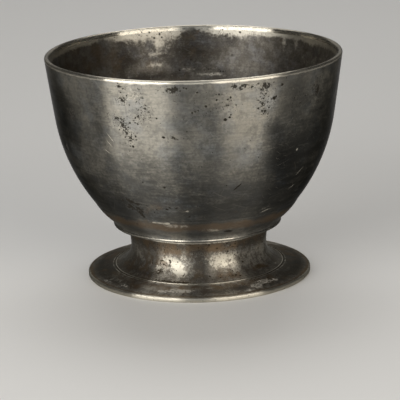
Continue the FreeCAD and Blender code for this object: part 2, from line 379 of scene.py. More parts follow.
class Graph:
    """A node tree being wired, a material's own or a group's."""

    def __init__(self, tree: bpy.types.NodeTree) -> None:
        """Starts on an empty tree.

        Args:
            tree: The tree.
        """
        self.tree = tree

    def node(self, kind: str, inputs: dict[Any, Value] | None = None, **settings: Any) -> Any:
        """Adds a node.

        Args:
            kind: Its type, without the words ShaderNode.
            inputs: What each input gets, a value or the socket that feeds it.
            settings: The node's own settings.

        Returns:
            The node.
        """
        made = self.tree.nodes.new(f"ShaderNode{kind}")
        for name, value in settings.items():
            setattr(made, name, value)
        for name, value in (inputs or {}).items():
            self.feed(made.inputs[name], value)
        return made

    def feed(self, socket: Socket, value: Value) -> None:
        """Gives an input a value or links it.

        Args:
            socket: The input.
            value: The value, or the socket that feeds it.
        """
        if isinstance(value, Socket):
            self.tree.links.new(value, socket)
        elif isinstance(value, tuple) and len(value) < len(socket.default_value):
            socket.default_value = (*value, 1.0)
        else:
            socket.default_value = value

    def sum(self, operation: str, *values: Value) -> Socket:
        """Works out one sum of numbers.

        Args:
            operation: The Math node's operation.
            values: What goes in.

        Returns:
            The result.
        """
        return self.node("Math", dict(enumerate(values)), operation=operation).outputs[0]

    def times(self, first: Value, second: Value) -> Socket:
        """Multiplies two numbers."""
        return self.sum("MULTIPLY", first, second)

    def ramp(self, value: Value, slope: Value = 1.0, start: Value = 0.0) -> Socket:
        """Gives a start plus a slope times a value."""
        return self.sum("MULTIPLY_ADD", value, slope, start)

    def most(self, *values: Value) -> Socket:
        """Gives the largest of several numbers.

        Args:
            values: What goes in.

        Returns:
            The largest.
        """
        result, *rest = values
        for value in rest:
            result = self.sum("MAXIMUM", result, value)
        return result

    def vector(self, operation: str, *values: Value, **inputs: Value) -> Any:
        """Works out one sum of vectors.

        Args:
            operation: The Vector Math node's operation.
            values: The vectors that go in.
            inputs: Its other inputs, such as Scale.

        Returns:
            The node's outputs.
        """
        vectors = dict(enumerate(values))
        return self.node("VectorMath", {**vectors, **inputs}, operation=operation).outputs

    def ease(self, value: Value, low: Value, high: Value, top: float = 1.0) -> Socket:
        """Turns a number into a mask that rises smoothly.

        Args:
            value: What goes in.
            low: Where the mask is nought.
            high: Where it is full.
            top: The full mask's value.

        Returns:
            The mask.
        """
        inputs = {"Value": value, "From Min": low, "From Max": high, "To Max": top}
        return self.node("MapRange", inputs, interpolation_type="SMOOTHSTEP").outputs[0]

    def noise(self, place: Value, scale: Value, **inputs: float) -> Any:
        """Places a noise.

        Args:
            place: The pattern's place.
            scale: How many of its waves fit in one unit.
            inputs: Its other inputs, such as Detail.

        Returns:
            The node's outputs: the value and the colour.
        """
        return self.node("TexNoise", {"Vector": place, "Scale": scale, **inputs}).outputs

    def blend(self, factor: Value, first: Value, second: Value, how: Blend = Blend.COLOURS) -> Any:
        """Mixes two colours or two numbers.

        Args:
            factor: How much of the second one there is.
            first: The first one.
            second: The second one.
            how: How they are put together.

        Returns:
            The mix.
        """
        kind, mode, first_input, second_input, output = how.value
        made = self.node("Mix", data_type=kind, blend_type=mode, clamp_factor=True)
        for name, value in ((0, factor), (first_input, first), (second_input, second)):
            self.feed(made.inputs[name], value)
        return made.outputs[output]

    def group(self, tree: bpy.types.NodeTree, inputs: dict[str, Value]) -> Socket:
        """Places a shared effect.

        Args:
            tree: The effect.
            inputs: What each input gets.

        Returns:
            Its result.
        """
        made = self.tree.nodes.new("ShaderNodeGroup")
        made.node_tree = tree
        for name, value in inputs.items():
            self.feed(made.inputs[name], value)
        return made.outputs[0]


class Effect(Graph):
    """A shader node group that several finishes share, with one number as its result."""

    def __init__(
        self, name: str, vectors: Names, numbers: Names = (), result: str = "Mask"
    ) -> None:
        """Starts the group.

        Args:
            name: The effect's name.
            vectors: The names of its inputs that take a vector.
            numbers: The names of its inputs that take a number.
            result: The name of its result.
        """
        super().__init__(bpy.data.node_groups.new(name, "ShaderNodeTree"))
        kinds = {label: "Vector" for label in vectors} | {label: "Float" for label in numbers}
        make = self.tree.interface.new_socket
        for label, kind in kinds.items():
            make(name=label, in_out="INPUT", socket_type=f"NodeSocket{kind}")
        make(name=result, in_out="OUTPUT", socket_type="NodeSocketFloat")
        source = self.tree.nodes.new("NodeGroupInput").outputs
        self.inputs = [source[label] for label in kinds]
        self.result = self.tree.nodes.new("NodeGroupOutput").inputs[0]

    def give(self, value: Socket) -> bpy.types.NodeTree:
        """Links the result and hands over the finished group."""
        self.feed(self.result, value)
        return self.tree


# The mean of a noise, and of a chance that is spread evenly.
MEAN = 0.5


def make_clouds() -> bpy.types.NodeTree:
    """Makes soft clouds of oxide.

    Returns:
        A group that gives a mask from a place, a scale, a coverage and a softness.
    """
    effect = Effect("oxide_clouds", ("Vector",), ("Scale", "Coverage", "Softness"))
    place, scale, coverage, softness = effect.inputs
    cloud = effect.noise(place, scale, Detail=6.0, Roughness=0.62)[0]
    middle = effect.sum("SUBTRACT", 1.0, coverage)
    low = effect.sum("SUBTRACT", middle, softness)
    return effect.give(effect.ease(cloud, low, effect.sum("ADD", middle, softness)))


def make_pits() -> bpy.types.NodeTree:
    """Makes corrosion pits of uneven shape and size.

    Returns:
        A group that gives a mask from a place, a scale, a density and a size.
    """
    wander, least_size, core_share = 0.7, 0.35, 0.45
    effect = Effect("corrosion_pits", ("Vector",), ("Scale", "Density", "Size"))
    place, scale, density, size = effect.inputs
    wobble = effect.noise(place, scale, Detail=2.0)[1]
    centred = effect.vector("SUBTRACT", wobble, (MEAN, MEAN, MEAN))[0]
    push = effect.vector("SCALE", centred, Scale=effect.sum("DIVIDE", wander, scale))[0]
    moved = effect.vector("ADD", place, push)[0]
    cells = effect.node("TexVoronoi", {"Vector": moved, "Scale": scale})
    chance = effect.node("SeparateColor", {0: cells.outputs["Color"]}).outputs
    there = effect.sum("LESS_THAN", chance[0], density)
    reach = effect.times(size, effect.ramp(chance[1], start=least_size))
    pit = effect.ease(cells.outputs["Distance"], reach, effect.times(reach, core_share))
    return effect.give(effect.times(pit, there))


def make_scratches() -> bpy.types.NodeTree:
    """Makes short straight scratches that lie more around the cup than up it.

    Returns:
        A group that gives a mask from a flat place, a scale, a density and a width.
    """
    widest_turn, end, full = 2.2, 0.5, 0.25
    effect = Effect("handling_scratches", ("Vector",), ("Scale", "Density", "Width"))
    place, scale, density, width = effect.inputs
    inputs = {"Vector": place, "Scale": scale}
    cells = effect.node("TexVoronoi", inputs, voronoi_dimensions="2D").outputs
    scaled = effect.vector("SCALE", place, Scale=scale)[0]
    centre = effect.vector("SCALE", cells["Position"], Scale=scale)[0]
    arm = effect.vector("SUBTRACT", scaled, centre)[0]
    chance = effect.node("SeparateColor", {0: cells["Color"]}).outputs
    turn = effect.times(effect.sum("SUBTRACT", chance[0], MEAN), widest_turn)
    turned = effect.node("VectorRotate", {"Vector": arm, "Angle": turn}, rotation_type="Z_AXIS")
    axes = effect.node("SeparateXYZ", {0: turned.outputs[0]}).outputs
    across, along = (effect.sum("ABSOLUTE", axis) for axis in axes[:2])
    line = effect.node("MapRange", {"Value": across, "From Min": width, "From Max": 0.0}).outputs[0]
    there = effect.sum("LESS_THAN", chance[1], density)
    return effect.give(effect.times(effect.times(line, effect.ease(along, end, full)), there))


def make_turning() -> bpy.types.NodeTree:
    """Makes the fine rings that the lathe leaves.

    Returns:
        A group that gives a height about nought from the flat place and a pitch per mm.
    """
    drift = 0.05
    effect = Effect("turning_lines", ("Flat",), ("Pitch",), "Height")
    flat, pitch = effect.inputs
    axes = effect.node("SeparateXYZ", {0: flat}).outputs
    inputs = {0: effect.times(axes[0], pitch), 1: effect.times(axes[1], drift)}
    ring = effect.node("CombineXYZ", inputs).outputs[0]
    return effect.give(effect.sum("SUBTRACT", effect.noise(ring, 1.0, Detail=3.0)[0], MEAN))


def make_streaks() -> bpy.types.NodeTree:
    """Makes uneven streaks that run around the cup.

    Returns:
        A group that gives a mask from the flat place, the streaks' length and their height.
    """
    effect = Effect("skin_streaks", ("Flat",), ("Length", "Height"))
    flat, length, height = effect.inputs
    axes = effect.node("SeparateXYZ", {0: flat}).outputs
    inputs = {0: effect.sum("DIVIDE", axes[0], height), 1: effect.sum("DIVIDE", axes[1], length)}
    stretched = effect.node("CombineXYZ", inputs).outputs[0]
    inputs = {"Vector": stretched, "Scale": 1.0, "Detail": 4.0, "Roughness": 0.6}
    streak = effect.node("TexNoise", inputs, noise_dimensions="2D").outputs[0]
    return effect.give(effect.ease(streak, low=0.42, high=0.66))


def make_spot() -> bpy.types.NodeTree:
    """Makes one crisp mark with a slightly ragged edge.

    Returns:
        A group that gives a mask from a place, the mark's centre, its turn and its reach.
    """
    ragged_scale, ragged_share = 3200.0, 0.9
    effect = Effect("crisp_mark", ("Vector", "Centre", "Turn", "Reach"))
    place, centre, turn, reach = effect.inputs
    inputs = {"Vector": place, "Location": centre, "Rotation": turn, "Scale": reach}
    own = effect.node("Mapping", inputs, vector_type="TEXTURE").outputs[0]
    far = effect.vector("LENGTH", own)["Value"]
    ragged = effect.sum("SUBTRACT", effect.noise(place, ragged_scale, Detail=2.0)[0], MEAN)
    far = effect.ramp(ragged, slope=ragged_share, start=far)
    return effect.give(effect.ease(far, low=1.0, high=0.6))


class Effects:
    """The shared effects, each built once."""

    def __init__(self) -> None:
        """Builds every group."""
        self.clouds = make_clouds()
        self.pits = make_pits()
        self.scratches = make_scratches()
        self.turning = make_turning()
        self.streaks = make_streaks()
        self.spot = make_spot()


@dataclass(frozen=True)
class Finish:
    """How one face of the pewter looks.

    Attributes:
        name: The material's name.
        bright: Colour where wear has cleaned it, and of the painted highlights.
        dull: Colour of its grey skin.
        deep: Colour of the darker clouds in the skin.
        cool: Colour of the bluish clouds in the skin.
        brown: Colour of the brown film in sheltered places.
        grime: Colour of the dirt in pits and corners.
        bloom: Colour of the chalky patches of oxide.
        haze: How chalky the skin is all over.
        bright_rough: Roughness where it is rubbed.
        dull_rough: Roughness of the skin.
        grime_rough: Roughness of the dirt.
        brushed: How much the turning draws the highlights out across the rings.
        edge_tint: Colour of the glancing reflection.
        cloud_size: Size of the large clouds in mm.
        deep_share: How much of the surface the darker clouds cover.
        cool_share: How much of it the bluish clouds cover.
        brown_share: How much of it the brown film covers.
        dusk: How far the places of the tone-and-shade trace sink to the dusk tint.
        dusk_tint: What those places are darkened by, as uneven tone and as painted shade.
        mottled: How strongly the fine mottling shows.
        softness: How softly the fine mottling fades at its edges.
        speckled: How strongly the finest speckle shows.
        pit_size: Distance between neighbouring pits in mm.
        pit_share: How many of the possible pits there are away from the patches.
        rub_share: How easily a rubbed patch shows.
        rub_edge: How softly it fades at its edge.
        rub_break: How raggedly its edge breaks up.
        rub_stain: How much of the fine mottling still shows on it.
        scratch_share: How many of the possible scratches there are.
        scratch_light: How bright the scratches are.
        streak_length: Length of the dark streaks around the cup, in mm.
        streak_height: Their height in mm.
        streak_share: How dark those streaks are.
        smear_share: How dark the long smears are where the tone-and-shade trace is high.
        ring_height: Height of the turning rings in mm.
        grain_height: Height of the fine grain in mm.
        pit_depth: Depth of the pits in mm.
        scratch_depth: Depth of the scratches in mm.
        grain_size: Size of the fine grain in mm.
        deep_depth: How strongly the darker clouds show.
        film_depth: How strongly the brown film shows.
        veil: How chalky the dirt and the bloom are.
        gloss: How strongly the chalky places reflect.
    """

    name: str
    bright: Colour = (0.62, 0.58, 0.49)
    dull: Colour = (0.34, 0.32, 0.272)
    deep: Colour = (0.10, 0.098, 0.09)
    cool: Colour = (0.232, 0.25, 0.266)
    brown: Colour = (0.165, 0.12, 0.08)
    grime: Colour = (0.022, 0.019, 0.014)
    bloom: Colour = (0.36, 0.34, 0.295)
    haze: float = 0.0
    bright_rough: float = 0.27
    dull_rough: float = 0.34
    grime_rough: float = 0.6
    brushed: float = 1.0
    edge_tint: Colour = (0.35, 0.35, 0.35)
    cloud_size: float = 11.0
    deep_share: float = 0.42
    cool_share: float = 0.45
    brown_share: float = 0.14
    dusk: float = 0.5
    dusk_tint: Colour = (0.20, 0.205, 0.21)
    mottled: float = 0.42
    softness: float = 0.10
    speckled: float = 0.52
    pit_size: float = 0.62
    pit_share: float = 0.008
    rub_share: float = 0.5
    rub_edge: float = 0.22
    rub_break: float = 1.0
    rub_stain: float = 0.25
    scratch_share: float = 0.35
    scratch_light: float = 0.2
    streak_length: float = 4.0
    streak_height: float = 0.5
    streak_share: float = 0.45
    smear_share: float = 0.62
    ring_height: float = 0.004
    grain_height: float = 0.0025
    pit_depth: float = 0.05
    scratch_depth: float = 0.01
    grain_size: float = 0.35
    deep_depth: float = 0.6
    film_depth: float = 0.7
    veil: float = 0.75
    gloss: float = 0.2


class Coat(Graph):
    """A finish's material being wired, layer by layer."""

    def __init__(self, finish: Finish, effects: Effects) -> None:
        """Starts the material.

        Args:
            finish: How it looks.
            effects: The shared effects.
        """
        self.made = bpy.data.materials.new(finish.name)
        self.made.use_nodes = True
        self.made.node_tree.nodes.clear()
        super().__init__(self.made.node_tree)
        self.finish = finish
        self.effects = effects
        self.place = self.node("TexCoord").outputs["Object"]
        self.flat = self.node("UVMap", uv_map=UV_NAME).outputs[0]
        self.traces = {trace: self.kept(trace.value) for trace in Trace if trace != Trace.DENTED}
        self.crest = self.kept("crest")
        self.blobs = self.clouds(0.6, coverage=MEAN, softness=0.2)
        self.torn = self.sum("SUBTRACT", self.blobs, MEAN)
        ragged = self.layer(0.18, coverage=MEAN, softness=0.4)
        self.ragged = self.sum("SUBTRACT", ragged, MEAN)
        # The tone-and-shade trace, partly painted shade, spreads the dark clouds and the speckle.
        toned = self.traces[Trace.TONED]
        shade = self.ramp(toned, slope=0.12, start=finish.deep_share)
        self.deep = self.layer(1.0, shade, softness=0.14)
        self.mottle = self.layer(0.22, shade, finish.softness)
        self.tone_and_shade_texture = self.ramp(toned, slope=0.6, start=0.4)
        speckle = self.layer(0.055, coverage=MEAN, softness=finish.softness * 1.2)
        self.speckle = self.times(speckle, self.tone_and_shade_texture)

    def kept(self, name: str) -> Socket:
        """Reads a number kept at the points of the mesh."""
        return self.node("Attribute", attribute_name=name).outputs["Fac"]

    def clouds(self, size: float, coverage: Value, softness: float) -> Socket:
        """Places clouds.

        Args:
            size: Their size in mm.
            coverage: How much of the surface they cover.
            softness: How softly they fade at their edges.

        Returns:
            Their mask.
        """
        inputs = {"Vector": self.place, "Scale": PER_MM / size, "Coverage": coverage}
        return self.group(self.effects.clouds, {**inputs, "Softness": softness})

    def layer(self, share: float, coverage: Value, softness: float) -> Socket:
        """Places clouds whose size is a share of the finish's large ones."""
        return self.clouds(self.finish.cloud_size * share, coverage, softness)

    def streaks(self, length: float, height: float) -> Socket:
        """Places streaks of a length and a height in mm."""
        inputs = {"Flat": self.flat, "Length": length, "Height": height}
        return self.group(self.effects.streaks, inputs)

    def pits(self, density: Value, finer: float = 1.0) -> Socket:
        """Places pits of a density, and as many times finer as asked."""
        scale = PER_MM / self.finish.pit_size * finer
        inputs = {"Vector": self.place, "Scale": scale, "Density": density, "Size": 0.42}
        return self.group(self.effects.pits, inputs)

    def scratches(self, scale: float, width: float) -> Socket:
        """Places scratches of a scale per mm, and of a width as a share of their cells."""
        inputs = {"Vector": self.flat, "Scale": scale, "Width": width}
        inputs["Density"] = self.finish.scratch_share
        return self.group(self.effects.scratches, inputs)

    def crisp(self, marks: Iterable[dict]) -> list[Socket]:
        """Places crisp marks."""
        return [self.group(self.effects.spot, {"Vector": self.place, **mark}) for mark in marks]

    def skin(self) -> Socket:
        """Wires the grey skin: darker and bluish clouds, streaks, speckle, brown film, painted
        shade.

        Returns:
            Its colour.
        """
        finish, toned = self.finish, self.traces[Trace.TONED]
        cool = self.layer(0.6, finish.cool_share, softness=0.12)
        streaks = self.streaks(finish.streak_length, finish.streak_height)
        streaks = self.times(streaks, self.tone_and_shade_texture)
        smears = self.times(self.streaks(finish.streak_length * 2.4, height=2.2), toned)
        cover = self.ramp(self.traces[Trace.FILMED], slope=0.4, start=finish.brown_share)
        film = self.layer(0.45, cover, softness=0.16)
        # Bluish clouds spread with the tone-and-shade trace; there they are partly a painted cool
        # reflection.
        chill = self.times(cool, self.ramp(toned, slope=0.35, start=0.45))
        colour = self.blend(chill, finish.dull, finish.cool)
        darker = (
            (self.deep, finish.deep_depth),
            (self.mottle, finish.mottled),
            (streaks, finish.streak_share),
            (smears, finish.smear_share),
            (self.speckle, finish.speckled),
        )
        for mask, share in darker:
            colour = self.blend(self.times(mask, share), colour, finish.deep)
        # The tone-and-shade trace sinks the colour to the dusk tint: uneven tone and painted shade.
        dusk = self.times(toned, finish.dusk)
        colour = self.blend(dusk, colour, finish.dusk_tint, Blend.DARKER)
        return self.blend(self.times(film, finish.film_depth), colour, finish.brown)

    def rub(self, bright: Iterable[dict]) -> Socket:
        """Wires metal kept bright by wear, and painted highlights: crests, patches and nicks.

        Args:
            bright: Where the nicks and the painted dent highlights are, as inputs of the crisp mark.

        Returns:
            A mask with a ragged edge.
        """
        finish = self.finish
        rub = self.ramp(self.sum("MINIMUM", self.crest, 1.1), start=self.traces[Trace.RUBBED])
        rub = self.ramp(self.ragged, slope=0.5 * finish.rub_break, start=rub)
        rub = self.ramp(self.torn, slope=0.25 * finish.rub_break, start=rub)
        low, high = finish.rub_share - finish.rub_edge, finish.rub_share + finish.rub_edge
        return self.most(self.ease(rub, low, high), *self.crisp(bright))

    def bloom(self) -> Socket:
        """Wires the chalky bloom, which lies in crisp-edged patches, and gives its mask."""
        bloom = self.ramp(self.torn, slope=1.6, start=1.0)
        bloom = self.ramp(self.ragged, slope=1.3, start=bloom)
        bloom = self.times(bloom, self.traces[Trace.BLOOMED])
        return self.ease(bloom, low=0.40, high=0.58, top=0.85)

    def hole(self, dark: Iterable[dict]) -> Socket:
        """Wires the pits, scattered and single.

        Args:
            dark: Where the single ones are, as inputs of the crisp mark.

        Returns:
            Their mask.
        """
        pitted, share = self.traces[Trace.PITTED], self.finish.pit_share
        large = self.pits(self.ramp(pitted, start=share))
        small = self.pits(self.ramp(pitted, slope=0.9, start=share), finer=2.3)
        return self.most(large, small, *self.crisp(dark))

    def dirt(self) -> Socket:
        """Wires the dirt in stains and in hollows, and gives its mask."""
        hollow = self.sum("MINIMUM", self.times(self.crest, -1.0), 1.0)
        dirt = self.ramp(hollow, slope=0.7, start=self.traces[Trace.STAINED])
        dirt = self.times(dirt, self.ramp(self.blobs, slope=1.5, start=0.25))
        dirt = self.ramp(self.ragged, slope=0.35, start=dirt)
        return self.ease(dirt, low=0.34, high=0.58, top=0.92)

    def rings(self) -> Socket:
        """Wires the fine and the broad turning rings, and gives their height about nought."""
        fine, broad = (
            self.group(self.effects.turning, {"Flat": self.flat, "Pitch": pitch})
            for pitch in (3.5, 0.9)
        )
        return self.sum("ADD", fine, broad)

    def paint(self, dark: Iterable[dict] = (), bright: Iterable[dict] = ()) -> bpy.types.Material:
        """Wires the whole finish.

        Args:
            dark: Where the crisp dark marks are, as inputs of the crisp mark.
            bright: Where the crisp bright marks are.

        Returns:
            The material.
        """
        finish = self.finish
        skin, rub, bloom = self.skin(), self.rub(bright), self.bloom()
        hole = self.hole(dark)
        grime = self.most(hole, self.dirt())
        rings = self.rings()
        lines = self.most(self.scratches(0.22, width=0.012), self.scratches(0.6, width=0.02))
        grain = self.noise(self.place, PER_MM / finish.grain_size, Detail=4.0)[0]

        stain = self.times(self.most(self.mottle, self.speckle), finish.rub_stain)
        clean = self.blend(stain, finish.bright, finish.dull)
        # Metal kept clean by wear, and the painted highlights, take the clean colour.
        colour = self.blend(rub, skin, clean)
        colour = self.blend(bloom, colour, finish.bloom)
        colour = self.blend(self.times(lines, finish.scratch_light), colour, finish.bright)
        colour = self.blend(grime, colour, finish.grime)

        chalky = self.most(grime, bloom)
        hazy = self.times(self.sum("SUBTRACT", 1.0, rub), finish.haze)
        veiled = self.times(chalky, finish.veil)
        rough = self.blend(rub, finish.dull_rough, finish.bright_rough, Blend.NUMBERS)
        rough = self.ramp(rings, slope=0.10, start=rough)
        rough = self.ramp(self.deep, slope=0.05, start=rough)
        rough = self.blend(chalky, rough, finish.grime_rough, Blend.NUMBERS)

        height = self.times(hole, -finish.pit_depth)
        height = self.ramp(rings, slope=finish.ring_height, start=height)
        height = self.ramp(grain, slope=finish.grain_height, start=height)
        height = self.ramp(lines, slope=-finish.scratch_depth, start=height)
        relief = {"Height": height, "Distance": MM, "Strength": 1.0}
        look = {
            "Base Color": colour,
            "Metallic": self.sum("SUBTRACT", 1.0, self.most(hazy, veiled)),
            "Roughness": rough,
            "Anisotropic": finish.brushed,
            "Specular Tint": finish.edge_tint,
            "Specular IOR Level": finish.gloss,
            "Normal": self.node("Bump", relief).outputs[0],
            "Tangent": self.node("Tangent", direction_type="UV_MAP", uv_map=UV_NAME).outputs[0],
        }
        shader = self.node("BsdfPrincipled", look)
        self.node("OutputMaterial", {"Surface": shader.outputs[0]})
        return self.made


@dataclass
class TurnedPiece:
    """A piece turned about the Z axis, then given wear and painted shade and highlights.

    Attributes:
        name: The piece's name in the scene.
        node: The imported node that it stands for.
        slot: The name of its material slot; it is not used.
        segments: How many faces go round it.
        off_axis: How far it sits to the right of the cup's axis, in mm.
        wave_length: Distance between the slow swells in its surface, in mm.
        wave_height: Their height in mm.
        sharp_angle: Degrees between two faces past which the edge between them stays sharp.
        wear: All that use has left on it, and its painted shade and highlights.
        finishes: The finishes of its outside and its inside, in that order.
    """

    name: str
    node: str
    slot: str
    segments: int = 440
    off_axis: float = 0.0
    wave_length: float = 17.0
    wave_height: float = 0.07
    sharp_angle: float = 50.0
    wear: Wear = Wear()
    finishes: tuple[Finish, ...] = ()

    def draw(self) -> Outline:
        """Draws the outline, which each piece does in its own way."""
        raise NotImplementedError

    def build(self, effects: Effects) -> bpy.types.Object:
        """Makes the piece, wears it, dresses it and puts it in the frame.

        Args:
            effects: The shared effects.

        Returns:
            The finished object.
        """
        outline = self.draw()
        shell = outline.spin(self.segments)
        crest = shell.verts.layers.float.new("crest")
        self._note_bends(shell, crest)
        mesh = bpy.data.meshes.new(self.name)
        shell.to_mesh(mesh)
        shell.free()
        self._wear(mesh)
        self._unwrap(mesh)
        mesh.transform(Matrix.Scale(MM, 4) @ Matrix.Translation((self.off_axis, 0, 0)))
        mesh.set_sharp_from_angle(angle=math.radians(self.sharp_angle))
        crisp = [
            [self._pin(mesh, Spot(*row)) for row in rows]
            for rows in (self.wear.dark, self.wear.bright)
        ]
        outside, *others = self.finishes
        mesh.materials.append(Coat(outside, effects).paint(*crisp))
        for finish in others:
            mesh.materials.append(Coat(finish, effects).paint())
        piece = bpy.data.objects.new(self.name, mesh)
        bpy.context.scene.collection.objects.link(piece)
        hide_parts(self.node)
        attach(piece, BODY)
        log.info("%s: %d points, %d faces", self.name, len(mesh.vertices), len(mesh.polygons))
        return piece

    @staticmethod
    def _note_bends(shell: bmesh.types.BMesh, layer: Any) -> None:
        """Notes at each point how sharply the outline bends there, in turns per mm.

        Args:
            shell: The spun shell.
            layer: The point layer that takes the bend: above nought on a crest, below in a hollow.
        """
        for edge in shell.edges:
            one, other = edge.verts
            if abs(one.co.z - other.co.z) > RING_REACH or len(edge.link_faces) != 2:
                continue
            gap = edge.link_faces[0].calc_center_median() - edge.link_faces[1].calc_center_median()
            bend = edge.calc_face_angle_signed(0) / max(gap.length, LEAST_GAP)
            for point in edge.verts:
                point[layer] += bend / 2

    def _wear(self, mesh: bpy.types.Mesh) -> None:
        """Adds up the soft marks at every point and moves the points for swells and dents.

        Args:
            mesh: The new mesh, in mm.
        """
        place = read(mesh.vertices, "co", 3)
        normal = read(mesh.vertex_normals, "vector", 3)
        run = read(mesh.attributes["run"].data, "value")
        inside = read(mesh.attributes["inside"].data, "value") > HALF
        radius = np.hypot(place[:, 0], place[:, 1])
        angle = np.degrees(np.arctan2(place[:, 0], -place[:, 1]))
        level = place[:, 2]
        traces = {trace: np.zeros(len(place)) for trace in Trace}
        for mark in self.wear.marks():
            on_side = inside == (mark.side is Side.INSIDE)
            nearest = np.argmin(np.where(on_side, np.abs(level - mark.level), np.inf))
            across = np.radians((angle - mark.around + 180) % 360 - 180) * radius
            along = run - run[nearest]
            lean = math.radians(mark.lean)
            turned = across * math.cos(lean) + along * math.sin(lean)
            climbed = along * math.cos(lean) - across * math.sin(lean)
            apart = (turned / mark.wide) ** 2 + (climbed / mark.tall) ** 2
            traces[mark.trace] += on_side * mark.amount * np.exp(MARK_FADE * apart)
        swell = [noise.noise(Vector(spot) / self.wave_length) for spot in place]
        shift = self.wave_height * np.array(swell) * self._swell_share(place)
        place += normal * (shift - traces.pop(Trace.DENTED))[:, None]
        mesh.vertices.foreach_set("co", place.astype(np.float32).ravel())
        for trace, amount in traces.items():
            attribute = mesh.attributes.new(trace.value, "FLOAT", "POINT")
            attribute.data.foreach_set("value", amount.astype(np.float32))
        mesh.update()

    @staticmethod
    def _pin(mesh: bpy.types.Mesh, spot: Spot) -> dict[str, Any]:
        """Pins a crisp mark to the outside of the finished mesh.

        Args:
            mesh: The mesh, in metres.
            spot: The mark.

        Returns:
            The crisp mark's inputs.
        """
        place = read(mesh.vertices, "co", 3)
        inside = read(mesh.attributes["inside"].data, "value") > HALF
        turn = math.radians(spot.around)
        way = np.array([math.sin(turn), -math.cos(turn)])
        away = np.abs(place[:, 2] - spot.level * MM) + OTHER_FACE * MM * inside
        away += np.maximum(0, np.hypot(*place[:, :2].T) - place[:, :2] @ way)
        centre = Vector(place[np.argmin(away)])
        reach = Vector((spot.long, spot.long, spot.thick)) * MM
        return {"Centre": centre, "Turn": (0, math.radians(spot.lean), turn), "Reach": reach}

    def _swell_share(self, place: np.ndarray) -> np.ndarray:
        """Gives how much of the swells each point takes, which is all of them by default."""
        return np.ones(len(place))

    @staticmethod
    def _unwrap(mesh: bpy.types.Mesh) -> None:
        """Lays the surface flat in mm: the outline's run against the way around the cup.

        Args:
            mesh: The worn mesh, in mm.
        """
        owner = read(mesh.loops, "vertex_index", whole=True)
        place = read(mesh.vertices, "co", 3)
        run = read(mesh.attributes["run"].data, "value")
        totals = read(mesh.polygons, "loop_total", whole=True)
        middle = read(mesh.polygons, "center", 3)
        about = np.repeat(np.arctan2(middle[:, 0], -middle[:, 1]), totals)
        angle = np.arctan2(place[owner, 0], -place[owner, 1])
        angle = about + (angle - about + math.pi) % (2 * math.pi) - math.pi
        mean_radius = np.hypot(place[:, 0], place[:, 1]).mean()
        flat = np.stack([run[owner], angle * mean_radius], axis=1)
        layer = mesh.uv_layers.new(name=UV_NAME)
        layer.uv.foreach_set("vector", flat.astype(np.float32).ravel())


